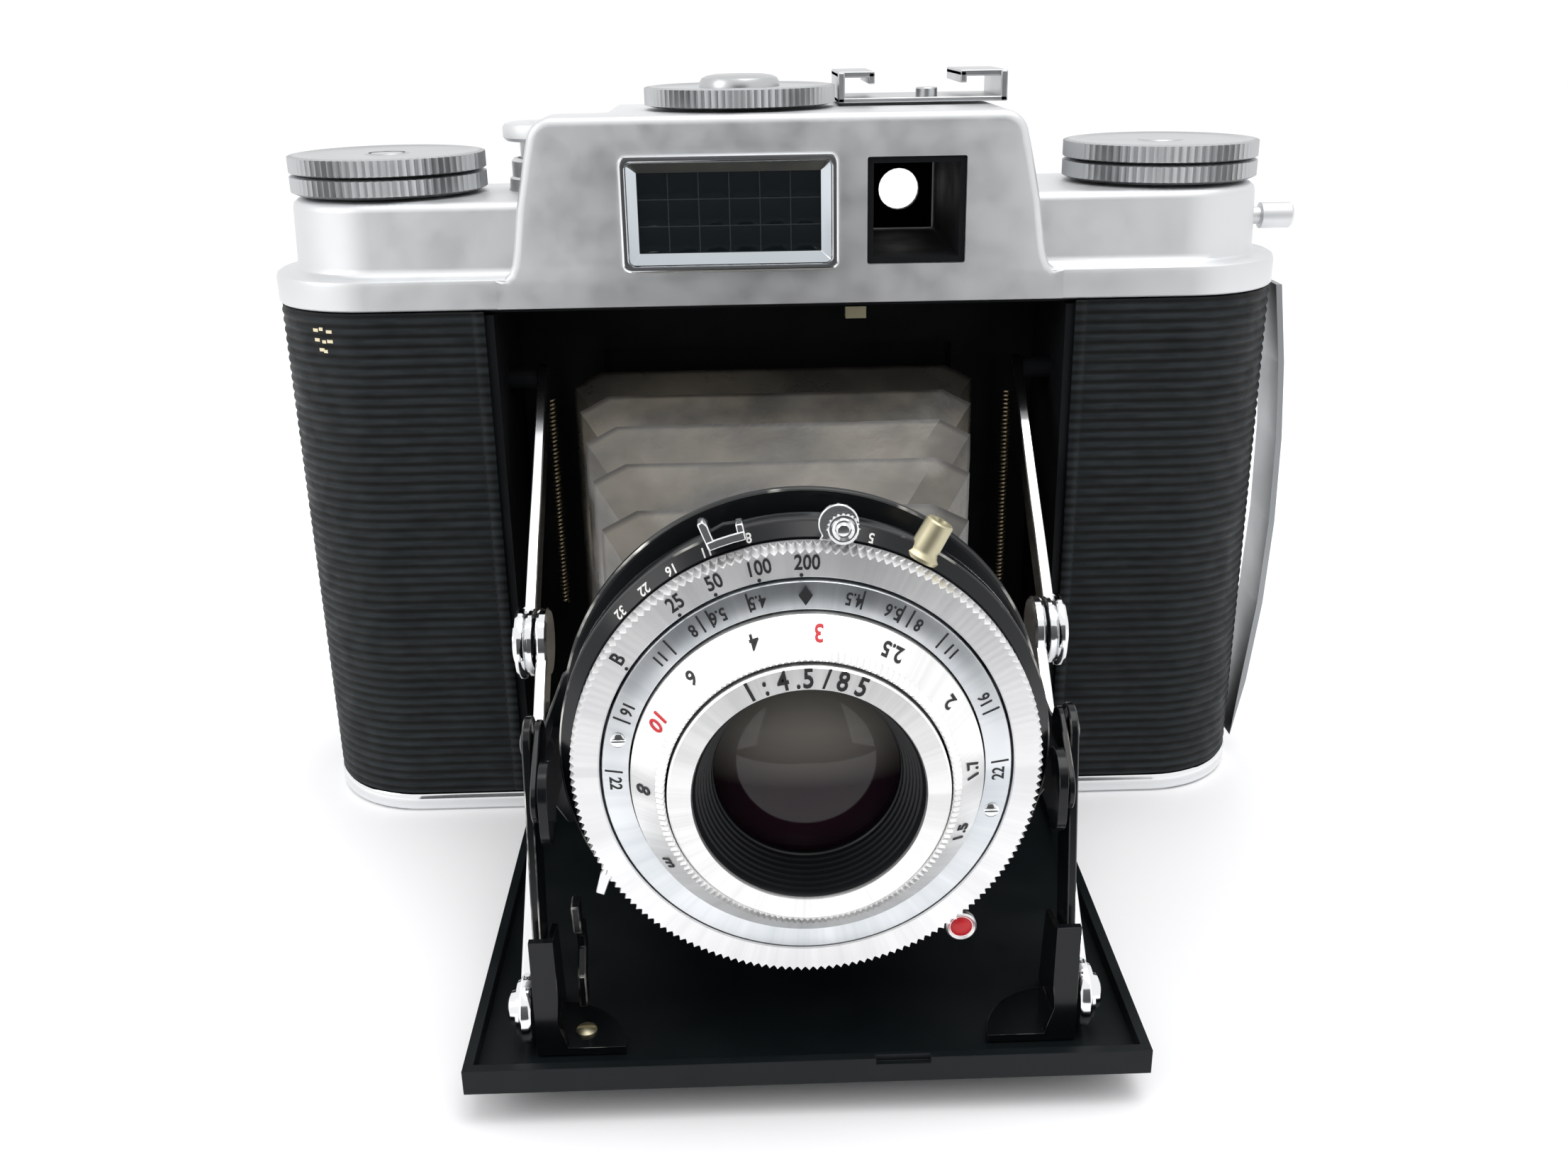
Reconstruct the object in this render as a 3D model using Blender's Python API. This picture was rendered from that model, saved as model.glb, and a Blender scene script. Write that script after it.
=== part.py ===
"""A folding roll-film camera, opened for use.

The base rests on z = 0, the lens looks along -Y, and +X is on the viewer's right when the
viewer faces the lens.  Sizes below are in millimetres; MM turns them into metres.
"""

import math

import bmesh
import bpy
from mathutils import Matrix, Vector

MM = 0.001
GAP = 0.3

# Body
BODY_HALF_WIDTH = 75.0
BODY_FRONT = -16.5
BODY_BACK = 15.7
BODY_MIDDLE = (BODY_FRONT + BODY_BACK) / 2
END_RADIUS = (BODY_BACK - BODY_FRONT) / 2
END_CENTRE = BODY_HALF_WIDTH - END_RADIUS
BASE_TOP = 3.0
SKIN = 0.5
SHELL_LOW = BASE_TOP + GAP
SHELL_HIGH = 79.7
WRAP_HIGH = 80.3
RECESS_HALF_WIDTH = 41.2
PANEL_INNER = 42.4
GATE_FRONT = 8.2
GATE_BACK = 9.4
FRAME_HALF = 28.0

# Top housing
BAND_LOW = 80.6
BAND_TOP = 85.0
DECK_TOP = 95.3
ROOF = 106.6
HUMP_HALF_LOW = 37.4
HUMP_HALF_HIGH = 32.6
KNOB_X = 57.6
KNOB_Y = 0.7
KNOB_RADIUS = 14.15
BUTTON_X = -33.7
BUTTON_Y = 3.0
DIAL_X = -5.2

# Lens and bed
LENS_X = 0.4
BELLOWS_X = -1.0
LENS_Z = 41.6
BED_PIVOT = (-16.5, 5.5)
BED_HALF_WIDTH = 39.5
BED_FRONT = -90.5
BED_UNDERSIDE = 4.5
BED_FLOOR = 5.8
BED_LIP = 7.7
LENS_TRAVEL = 74.6

# Folding linkage, as (y, z) at rest
EAR_PIVOT = (-81.8, 37.7)
ARM_FOOT = (-80.8, 15.4)
STRUT_TOP = (-6.0, 68.3)
STRUT_FOOT = (-82.5, 10.3)
STRUT_UPPER_LENGTH = 46.4

BLACK = (0.012, 0.012, 0.013)
SILVER = (0.74, 0.74, 0.75)


def look(name, colour, metallic, roughness):
    """A named Principled material, made once."""
    found = bpy.data.materials.get(name)
    if found:
        return found
    material = bpy.data.materials.new(name)
    material.use_nodes = True
    shader = material.node_tree.nodes["Principled BSDF"]
    shader.inputs["Base Color"].default_value = (*colour, 1.0)
    shader.inputs["Metallic"].default_value = metallic
    shader.inputs["Roughness"].default_value = roughness
    return material


def satin():
    return look("satin_metal", SILVER, 1.0, 0.35)


def chrome():
    return look("bright_chrome", (0.85, 0.85, 0.86), 1.0, 0.12)


def enamel():
    return look("black_enamel", BLACK, 0.0, 0.3)


def matt_black():
    return look("matt_black", BLACK, 0.0, 0.75)


def leather():
    return look("ribbed_leather", (0.02, 0.022, 0.022), 0.0, 0.6)


def brass():
    return look("brass", (0.62, 0.5, 0.28), 1.0, 0.35)


def glass(name, colour):
    return look(name, colour, 0.0, 0.03)


def clear_scene():
    for thing in list(bpy.data.objects):
        bpy.data.objects.remove(thing, do_unlink=True)


def solid(name, bm, material, pivot=(0.0, 0.0, 0.0)):
    """Turns a bmesh in millimetres into an object in metres whose origin is at pivot."""
    bmesh.ops.recalc_face_normals(bm, faces=bm.faces)
    offset = Vector(pivot)
    for vert in bm.verts:
        vert.co = (vert.co - offset) * MM
    mesh = bpy.data.meshes.new(name)
    bm.to_mesh(mesh)
    bm.free()
    mesh.shade_smooth()
    mesh.set_sharp_from_angle(angle=math.radians(35))
    mesh.materials.append(material)
    thing = bpy.data.objects.new(name, mesh)
    thing.location = offset * MM
    bpy.context.scene.collection.objects.link(thing)
    return thing


def helper(name, bm):
    """A cutter or a joined-on shape, left out of the model itself."""
    thing = solid(name, bm, matt_black())
    thing.hide_render = True
    thing.display_type = "WIRE"
    return thing


def boolean(thing, other, operation="DIFFERENCE"):
    modifier = thing.modifiers.new(other.name, "BOOLEAN")
    modifier.operation = operation
    modifier.object = other
    modifier.solver = "EXACT"


def place(axis, low, u, v):
    """A point at `low` along the axis, with u and v on the other two, in X, Y, Z order."""
    if axis == "x":
        return (low, u, v)
    if axis == "y":
        return (u, low, v)
    return (u, v, low)


def prism(outline, low, high, axis="z"):
    bm = bmesh.new()
    rings = [[bm.verts.new(place(axis, at, u, v)) for u, v in outline] for at in (low, high)]
    bm.faces.new(rings[0])
    bm.faces.new(list(reversed(rings[1])))
    count = len(outline)
    for i in range(count):
        j = (i + 1) % count
        bm.faces.new((rings[0][i], rings[1][i], rings[1][j], rings[0][j]))
    return bm


def box(x, y, z):
    return prism([(x[0], y[0]), (x[1], y[0]), (x[1], y[1]), (x[0], y[1])], z[0], z[1])


def turned(profile, centre, axis="z", steps=32, start=0.0):
    """Turns (radius, height) points about a line through centre; radius 0 closes on the axis."""
    bm = bmesh.new()
    rings = []
    for radius, height in profile:
        turns = range(steps) if radius else range(1)
        ring = []
        for i in turns:
            angle = start + 2 * math.pi * i / steps
            u = centre[0] + radius * math.cos(angle)
            v = centre[1] + radius * math.sin(angle)
            ring.append(bm.verts.new(place(axis, height, u, v)))
        rings.append(ring)
    closed = bool(profile[0][0] and profile[-1][0])
    pairs = list(zip(rings, rings[1:]))
    if closed:
        pairs.append((rings[-1], rings[0]))
    for a, b in pairs:
        for i in range(steps):
            j = (i + 1) % steps
            if len(a) == 1:
                bm.faces.new((a[0], b[j], b[i]))
            elif len(b) == 1:
                bm.faces.new((a[i], a[j], b[0]))
            else:
                bm.faces.new((a[i], a[j], b[j], b[i]))
    return bm


def pin(radius, low, high, centre, axis="z", steps=16):
    return turned([(0, low), (radius, low), (radius, high), (0, high)], centre, axis, steps)


def ring(inner, outer, low, high, centre, axis="z", steps=48):
    profile = [(inner, low), (outer, low), (outer, high), (inner, high)]
    return turned(profile, centre, axis, steps)


def arc(centre, radius, start, end, steps):
    """Points on an arc, by degrees."""
    points = []
    for i in range(steps + 1):
        angle = math.radians(start + (end - start) * i / steps)
        points.append((centre[0] + radius * math.cos(angle), centre[1] + radius * math.sin(angle)))
    return points


def rounded(x0, x1, y0, y1, radius, steps=8):
    """A rectangle's outline with round corners."""
    corners = (
        ((x1 - radius, y0 + radius), -90),
        ((x1 - radius, y1 - radius), 0),
        ((x0 + radius, y1 - radius), 90),
        ((x0 + radius, y0 + radius), 180),
    )
    return [p for centre, angle in corners for p in arc(centre, radius, angle, angle + 90, steps)]


def capsule(a, b, radius, steps=8):
    """A bar's outline, round at both ends."""
    along = math.degrees(math.atan2(b[1] - a[1], b[0] - a[0]))
    return arc(b, radius, along - 90, along + 90, steps) + arc(a, radius, along + 90, along + 270, steps)


def mirrored(outline, side):
    return [(side * u, v) for u, v in outline]


def between(low, high, side):
    """A span on one side of the middle plane, in rising order."""
    return (low, high) if side > 0 else (-high, -low)


# ---------------------------------------------------------------- body


def bottom_plate():
    outline = rounded(-BODY_HALF_WIDTH, BODY_HALF_WIDTH, BODY_FRONT, BODY_BACK, END_RADIUS - 0.1, 10)
    plate = solid("bottom_plate", prism(outline, 0.0, BASE_TOP), chrome())
    boolean(plate, helper("cut_bush", pin(6.3, -1.0, 5.0, (-20.0, 1.0), steps=24)))
    solid("tripod_bush", ring(3.2, 6.0, 0.2, 2.9, (-20.0, 1.0), steps=24), chrome())


def chamber(name, side):
    """One film chamber: the outer wall of the round end and the side wall of the recess."""
    centre = (END_CENTRE, BODY_MIDDLE)
    outside = END_RADIUS - SKIN - GAP
    under_wrap = END_RADIUS - 1.5
    inside = under_wrap - 0.7
    front = BODY_MIDDLE - outside
    outline = [(RECESS_HALF_WIDTH, front)]
    outline += arc(centre, outside, -90, -4, 8)
    outline += arc(centre, under_wrap, -4, 28, 3)
    outline += arc(centre, inside, 28, -90, 8)
    outline += [(PANEL_INNER, BODY_MIDDLE - inside), (PANEL_INNER, GATE_FRONT - GAP)]
    outline += [(RECESS_HALF_WIDTH, GATE_FRONT - GAP)]
    wall = solid(name, prism(mirrored(outline, side), SHELL_LOW, SHELL_HIGH), matt_black())
    boss = pin(1.6, *between(36.9, 41.8, side), STRUT_TOP, "x")
    boolean(wall, helper("boss_" + name, boss), "UNION")


def front_leather(name, side):
    centre = (END_CENTRE, BODY_MIDDLE)
    outline = [(PANEL_INNER, BODY_FRONT)]
    outline += arc(centre, END_RADIUS, -90, -5, 10)
    outline += arc(centre, END_RADIUS - SKIN, -5, -90, 10)
    outline += [(PANEL_INNER, BODY_FRONT + SKIN)]
    solid(name, prism(mirrored(outline, side), SHELL_LOW, WRAP_HIGH), leather())


def film_gate():
    gate = solid(
        "film_gate",
        box((-43.4, 43.4), (GATE_FRONT, GATE_BACK), (SHELL_LOW, SHELL_HIGH)),
        matt_black(),
    )
    high = LENS_Z + FRAME_HALF
    low = LENS_Z - FRAME_HALF
    boolean(gate, helper("cut_frame", box((-FRAME_HALF, FRAME_HALF), (0, 20), (low, high))))


def top_deck():
    outline = rounded(-72.4, 72.4, -15.0, 12.3, 13.4, 8)
    deck = solid("top_deck", prism(outline, 80.0, 81.2), matt_black())
    for side in (-1, 1):
        boolean(deck, helper("cut_deck", pin(4.0, 78, 84, (side * KNOB_X, KNOB_Y), steps=20)))


def housing_shape(name, inset, low):
    """The top housing's outer form, or its hollow when inset is not 0."""
    r = inset
    front = BODY_FRONT - 0.1 + r
    back = BODY_BACK + 0.1 - r
    half = BODY_HALF_WIDTH + 0.2 - r
    band_top = BAND_TOP - r
    band = prism(rounded(-half, half, front, back, END_RADIUS - r, 10), low, band_top + 0.02)
    shape = helper(name + "_band", band) if inset else solid(name, band, satin())
    decks = prism(
        rounded(-71.6 + r, 71.6 - r, -14.2 + r, 13.6 - r, 13.5 - r, 8), low + 0.5, DECK_TOP - r
    )
    boolean(shape, helper(name + "_decks", decks), "UNION")
    top = ROOF - r
    outline = [(HUMP_HALF_LOW - r, low + 0.7), (HUMP_HALF_LOW - r, 88.0)]
    outline += arc((HUMP_HALF_HIGH - 3.0 - r + 0.6, top - 3.0), 3.0, 10, 90, 4)
    outline += [(-u, v) for u, v in reversed(outline)]
    hump = helper(name + "_hump", prism(outline, front + 0.02, back - 0.02, "y"))
    notch = box((-60.0, -24.0 + r), (-7.5 - r, 30.0), (DECK_TOP - r, 120.0))
    boolean(hump, helper(name + "_notch", notch))
    boolean(shape, hump, "UNION")
    return shape


def top_housing():
    housing = housing_shape("top_housing", 0.0, BAND_LOW)
    boolean(housing, housing_shape("hollow", 1.2, BAND_LOW - 2.0))
    holes = [
        pin(5.0, 90, 99, (KNOB_X, KNOB_Y), steps=20),
        pin(5.0, 90, 99, (-KNOB_X, KNOB_Y), steps=20),
        pin(4.2, 90, 99, (BUTTON_X, BUTTON_Y), steps=20),
        pin(3.0, 100, 110, (DIAL_X, 0.0), steps=16),
        box((-20.5, 6.5), (-20.0, -10.0), (87.5, 100.8)),
        box((12.1, 26.4), (-20.0, 20.0), (85.8, 100.9)),
    ]
    for i, hole in enumerate(holes):
        boolean(housing, helper(f"cut_housing_{i}", hole))


def meter_window():
    outer = box((-22.3, 8.3), (-18.2, -16.9), (85.5, 101.6))
    bezel = solid("meter_frame", outer, chrome())
    boolean(bezel, helper("cut_bezel", box((-20.0, 6.0), (-20.0, -10.0), (88.0, 100.3))))
    pane = box((-19.7, 5.7), (-17.3, -15.0), (88.3, 100.0))
    solid("meter_glass", pane, glass("meter_glass_look", (0.03, 0.03, 0.035)))


def viewfinder():
    tube = solid("viewfinder_tube", box((12.4, 26.1), (-16.2, 15.4), (86.1, 100.6)), matt_black())
    boolean(tube, helper("cut_tube", box((13.2, 25.3), (-30, 30), (86.9, 99.8))))
    plate = solid("eyepiece", box((13.5, 25.0), (13.0, 14.4), (87.2, 99.5)), matt_black())
    boolean(plate, helper("cut_eyepiece", pin(3.2, 10, 20, (19.7, 93.2), "y", 24)))


def accessory_shoe():
    outline = [
        (9.2, 107.0),
        (34.1, 107.0),
        (34.1, 111.4),
        (27.0, 111.4),
        (27.0, 110.5),
        (33.1, 110.5),
        (33.1, 107.9),
        (10.2, 107.9),
        (10.2, 110.5),
        (14.9, 110.5),
        (14.9, 111.4),
        (9.2, 111.4),
    ]
    shoe = solid("accessory_shoe", prism(outline, -1.0, 15.0, "y"), chrome())
    boolean(shoe, helper("stop_pin", pin(1.65, 107.4, 108.9, (22.4, 1.2))), "UNION")


def strap_stud():
    profile = [(0, 71.95), (1.3, 71.95), (1.3, 73.4), (1.95, 73.6), (1.95, 78.0), (1.6, 78.3), (0, 78.3)]
    solid("strap_stud", turned(profile, (0.0, 89.7), "x", 20), chrome())


def bellows():
    """A pleated tube, square with cut corners, narrowing from the film gate to the lens plate."""
    back = GATE_FRONT - GAP
    front = -69.2 + GAP
    pleats = 5
    bm = bmesh.new()
    rings = []
    for wall in (0.0, 0.6):
        for i in range(2 * pleats + 1):
            y = back + (front - back) * i / (2 * pleats)
            half_high = 26.9 - 0.001 * y * y
            half_wide = 31.1 + 0.153 * y
            depth = wall + (0.0 if i % 2 else 3.4)
            rings.append(bellows_ring(bm, half_wide - depth, half_high - depth, y))
    outer = rings[: 2 * pleats + 1]
    loops = outer + list(reversed(rings[2 * pleats + 1 :]))
    for a, b in zip(loops, loops[1:] + loops[:1]):
        for i in range(8):
            j = (i + 1) % 8
            bm.faces.new((a[i], a[j], b[j], b[i]))
    solid("bellows", bm, look("bellows_cloth", (0.12, 0.11, 0.105), 0.0, 0.45))


def bellows_ring(bm, half_wide, half_high, y):
    cut_wide = 4.4
    cut_high = 2.6
    corners = []
    for sx, sz, first in ((1, 1, True), (-1, 1, False), (-1, -1, True), (1, -1, False)):
        side_point = (sx * half_wide, sz * (half_high - cut_high))
        end_point = (sx * (half_wide - cut_wide), sz * half_high)
        corners += [side_point, end_point] if first else [end_point, side_point]
    return [bm.verts.new((BELLOWS_X + x, y, LENS_Z + z)) for x, z in corners]


# ---------------------------------------------------------------- back


def back_door():
    centre = (END_CENTRE, BODY_MIDDLE)
    left = (-END_CENTRE, BODY_MIDDLE)
    outline = arc(centre, END_RADIUS, 5, 90, 9) + arc(left, END_RADIUS, 90, 175, 9)
    outline += arc(left, END_RADIUS - 1.1, 175, 90, 9) + arc(centre, END_RADIUS - 1.1, 90, 5, 9)
    pivot = (-BODY_HALF_WIDTH + 0.6, BODY_MIDDLE, 0.0)
    door = solid("back_door", prism(outline, SHELL_LOW, WRAP_HIGH), leather(), pivot)
    boolean(door, helper("cut_window", pin(5.3, 10, 20, (0.0, 22.0), "y", 24)))
    solid("back_hinge_pin", pin(0.8, SHELL_LOW, WRAP_HIGH, pivot[:2], steps=12), chrome(), pivot)
    solid("pressure_plate", box((-31, 31), (10.2, 11.2), (9, 74)), matt_black(), pivot)
    pane = pin(5.0, 14.7, 15.3, (0.0, 22.0), "y", 24)
    solid("red_window", pane, glass("red_glass", (0.4, 0.01, 0.01)), pivot)
    cover = prism(capsule((0.0, 22.0), (8.0, 22.0), 6.6), 16.0, 16.8, "y")
    solid("window_cover", cover, matt_black(), (0.0, 16.0, 22.0))


def back_latch():
    """An arched strip along the right-hand end, standing proud of the leather at mid-height."""
    points = [(75.4, 4.0), (77.2, 14.0), (78.6, 28.0), (79.1, 42.0), (78.8, 56.0), (77.9, 68.0), (76.3, 80.0)]
    outline = points + [(x - 0.9, z) for x, z in reversed(points[1:])]
    solid("back_latch", prism(outline, -5.0, 4.2, "y"), chrome(), (75.4, BODY_MIDDLE, 4.0))


# ---------------------------------------------------------------- controls on top


def knobs():
    r = KNOB_RADIUS
    low = 95.7
    profile = [
        (0, 76.6), (3.0, 76.6), (3.0, low), (13.0, low), (r, low + 0.6), (r, 98.2), (13.3, 98.4),
        (13.3, 98.7), (r, 98.9), (r, 100.6), (13.3, 101.2), (0, 101.2),
    ]
    pivot = (KNOB_X, KNOB_Y, low)
    solid("winding_knob", turned(profile, pivot[:2], steps=48), satin(), pivot)
    lower = profile[:6] + [(13.3, 98.3), (2.4, 98.3), (2.4, 100.8), (0, 100.8)]
    pivot = (-KNOB_X, KNOB_Y, low)
    solid("spool_knob", turned(lower, pivot[:2], steps=48), satin(), pivot)
    upper = [(2.7, 98.6), (13.3, 98.6), (r, 98.9), (r, 100.6), (13.3, 101.2), (2.7, 101.2)]
    solid("reminder_dial", turned(upper, pivot[:2], steps=48), satin(), pivot)


def spool(name, x):
    profile = [
        (0, 6.0), (2.5, 6.0), (2.5, 8.0), (12.0, 8.0), (12.0, 9.2), (5.5, 9.2), (5.5, 71.8),
        (12.0, 71.8), (12.0, 73.0), (2.5, 73.0), (2.5, 76.2), (0, 76.2),
    ]
    pivot = (x, KNOB_Y, 8.0)
    solid(name, turned(profile, pivot[:2], steps=24), matt_black(), pivot)


def exposure_dial():
    profile = [
        (0, 104.0), (2.6, 104.0), (2.6, 107.0), (13.2, 107.0), (14.0, 107.5), (14.0, 109.1),
        (13.2, 109.7), (5.2, 109.7), (5.2, 110.6), (4.4, 111.4), (0, 111.4),
    ]
    pivot = (DIAL_X, 0.0, 107.0)
    solid("exposure_dial", turned(profile, pivot[:2], steps=48), satin(), pivot)


def release():
    centre = (BUTTON_X, BUTTON_Y)
    collar = [(5.0, 95.6), (6.2, 95.6), (6.2, 97.0), (5.9, 97.2), (5.9, 99.9), (5.0, 99.9)]
    solid("release_collar", turned(collar, centre), satin())
    profile = [
        (0, 90.0), (3.2, 90.0), (3.2, 99.0), (4.6, 99.0), (4.6, 102.4), (6.3, 102.4), (6.8, 102.9),
        (6.8, 104.4), (6.2, 104.9), (0, 104.9),
    ]
    pivot = (*centre, 99.0)
    solid("release_button", turned(profile, centre), satin(), pivot)


# ---------------------------------------------------------------- bed


def bed_pivot():
    return (0.0, *BED_PIVOT)


def bed_door():
    inner = BED_HALF_WIDTH - 1.2
    y = (BED_FRONT, -18.9)
    door = solid(
        "bed_door",
        box((-BED_HALF_WIDTH, BED_HALF_WIDTH), y, (BED_UNDERSIDE, BED_LIP)),
        enamel(),
        bed_pivot(),
    )
    boolean(door, helper("cut_pan", box((-inner, inner), (y[0] + 1.2, 0), (BED_FLOOR, 20))))
    under = box((-inner, inner), (y[0] + 1.2, -20.1), (0.0, BED_FLOOR - 0.8))
    boolean(door, helper("cut_under", under))
    notch = box((7.7, 14.0), (y[0] - 1, y[0] + 0.7), (6.9, 20))
    boolean(door, helper("cut_notch", notch))
    for i, (low, high) in enumerate(((-34.0, -10.0), (10.0, 34.0))):
        barrel = helper(f"add_barrel_{i}", pin(1.9, low, high, BED_PIVOT, "x", 16))
        boolean(door, barrel, "UNION")
        web = helper(f"add_web_{i}", box((low, high), (-19.5, -17.3), (4.7, BED_FLOOR)))
        boolean(door, web, "UNION")
    boolean(door, helper("cut_pin", pin(1.4, -60, 60, BED_PIVOT, "x", 16)))
    solid("bed_hinge_pin", pin(1.1, -40.8, 40.8, BED_PIVOT, "x", 12), chrome(), bed_pivot())
    skin = box((-inner + 0.3, inner - 0.3), (y[0] + 1.5, -20.4), (4.5, BED_FLOOR - 1.1))
    solid("bed_leather", skin, leather(), bed_pivot())


def bracket(name, side):
    """A door bracket: a quarter-round foot, a front web and the flange that holds the arm."""
    base = BED_FLOOR + GAP
    web_front = -86.0
    foot = [(30.2, web_front), (30.2, web_front + 9.0)]
    foot += arc((30.2, web_front), 9.0, 100, 180, 6)
    thing = solid(name, prism(mirrored(foot, side), base, base + 0.9), enamel(), bed_pivot())
    web = box(between(28.9, 31.4, side), (web_front, web_front + 0.9), (base + 0.1, 21.5))
    boolean(thing, helper(name + "_web", web), "UNION")
    outline = [(web_front + 0.1, base + 0.2), (-74.0, base + 0.2), (-76.0, 17.5), (web_front + 0.1, 19.5)]
    flange = prism(outline, *between(29.5, 30.2, side), "x")
    boolean(thing, helper(name + "_flange", flange), "UNION")


def door_catch():
    """The catch under the top edge of the recess that holds the closed bed."""
    solid("door_catch", box((9.4, 12.4), (-14.0, -12.0), (77.9, 79.6)), chrome())


def release_arm():
    """The bent arm on the left bracket that carries the body release to the shutter."""
    spine = [(-80.0, 9.0), (-80.0, 13.0), (-77.5, 16.5), (-80.5, 20.0), (-81.5, 24.0)]
    half = 1.2
    left = []
    right = []
    for i, (y, z) in enumerate(spine):
        before = spine[max(i - 1, 0)]
        after = spine[min(i + 1, len(spine) - 1)]
        run = Vector((after[0] - before[0], after[1] - before[1])).normalized() * half
        left.append((y - run.y, z + run.x))
        right.append((y + run.y, z - run.x))
    outline = left + list(reversed(right))
    pivot = (-26.4, -80.0, 9.0)
    solid("release_arm", prism(outline, -26.9, -25.9, "x"), enamel(), pivot)


# ---------------------------------------------------------------- folding linkage


def bar(a, b, radius, low, high, lean, side):
    """A flat link in the (y, z) plane; lean moves its b end sideways, towards the middle."""
    bm = prism(capsule(a, b, radius), *between(low, high, side), "x")
    run = Vector((b[0] - a[0], b[1] - a[1]))
    for vert in bm.verts:
        share = Vector((vert.co.y - a[0], vert.co.z - a[1])).dot(run) / run.length_squared
        vert.co.x -= side * lean * share
    return bm


def knee():
    top = Vector(STRUT_TOP)
    return tuple(top + (Vector(STRUT_FOOT) - top).normalized() * STRUT_UPPER_LENGTH)


def arm_top():
    """Where the short ear link meets the side arm: both ends of the fold fix it."""
    q = complex(*ARM_FOOT) - complex(*BED_PIVOT)
    start = complex(*EAR_PIVOT) - complex(*BED_PIVOT) - q
    end = complex(*EAR_PIVOT) + LENS_TRAVEL - complex(*BED_PIVOT) - q * -1j
    link = (end + start) / (1j + 1)
    top = complex(*EAR_PIVOT) - link
    return (top.real, top.imag)


def linkage(word, side):
    top = (side * 36.0, *STRUT_TOP)
    upper = bar(STRUT_TOP, knee(), 2.2, 35.3, 36.6, 0.7, side)
    strut = solid("strut_upper_" + word, upper, chrome(), top)
    disc = turned([(0, 34.5), (4.2, 34.5), (4.2, 36.4), (2.0, 37.0), (0, 37.0)], knee(), "x", 24)
    if side < 0:
        for vert in disc.verts:
            vert.co.x = -vert.co.x
    boolean(strut, helper("knee_" + word, disc), "UNION")
    foot = (side * 33.2, *STRUT_FOOT)
    lower = bar(STRUT_FOOT, knee(), 2.3, 32.0, 33.3, -0.8, side)
    link = solid("strut_lower_" + word, lower, chrome(), foot)
    eye = pin(3.7, *between(32.1, 33.6, side), STRUT_FOOT, "x", 24)
    boolean(link, helper("eye_" + word, eye), "UNION")
    head = pin(4.5, *between(32.7, 34.2, side), knee(), "x", 24)
    boolean(link, helper("head_" + word, head), "UNION")
    spring(word, side)
    arm = prism(capsule(ARM_FOOT, arm_top(), 3.1), *between(30.5, 31.5, side), "x")
    solid("arm_" + word, arm, enamel(), (0.0, *ARM_FOOT))
    ear_link = prism(capsule(arm_top(), EAR_PIVOT, 2.8), *between(29.5, 30.2, side), "x")
    solid("ear_link_" + word, ear_link, enamel(), (0.0, *arm_top()))


def spring(word, side):
    """The thin closed-wound spring that stands in the recess beside the wall."""
    turns = 34
    low = 29.0
    profile = [(0, low)]
    for i in range(turns):
        profile += [(0.7, low + i + 0.3), (0.5, low + i + 0.8)]
    profile += [(0, low + turns)]
    solid("spring_" + word, turned(profile, (side * 36.1, 1.2), "z", 8), brass())


# ---------------------------------------------------------------- lens and shutter


def lens_centre():
    return (LENS_X, LENS_Z)


def lens_pivot(y=-80.0):
    return (LENS_X, y, LENS_Z)


def lens_standard():
    """The plate behind the shutter, with an ear bent forward on each side."""
    plate = solid(
        "lens_standard",
        turned([(15.0, -70.4), (28.0, -70.4), (28.0, -69.2), (15.0, -69.2)], lens_centre(), "y", 48),
        enamel(),
        (0.0, *EAR_PIVOT),
    )
    for side, word in ((-1, "left"), (1, "right")):
        shoulder = [(20.0, 30.0), (29.2, 30.0), (31.0, 34.0), (31.0, 40.0), (28.4, 44.0), (24.0, 50.0), (18.0, 50.0)]
        part = prism(mirrored(shoulder, side), -70.3, -69.3, "y")
        boolean(plate, helper("shoulder_" + word, part), "UNION")
        outline = capsule((EAR_PIVOT[0], EAR_PIVOT[1] - 2.0), (EAR_PIVOT[0], EAR_PIVOT[1] + 1.0), 3.4)
        ear = prism(outline, *between(28.2, 29.2, side), "x")
        boolean(plate, helper("ear_tip_" + word, ear), "UNION")
        strap = box(between(28.25, 29.15, side), (EAR_PIVOT[0], -69.5), (34.5, 41.0))
        boolean(plate, helper("ear_strap_" + word, strap), "UNION")


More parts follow.
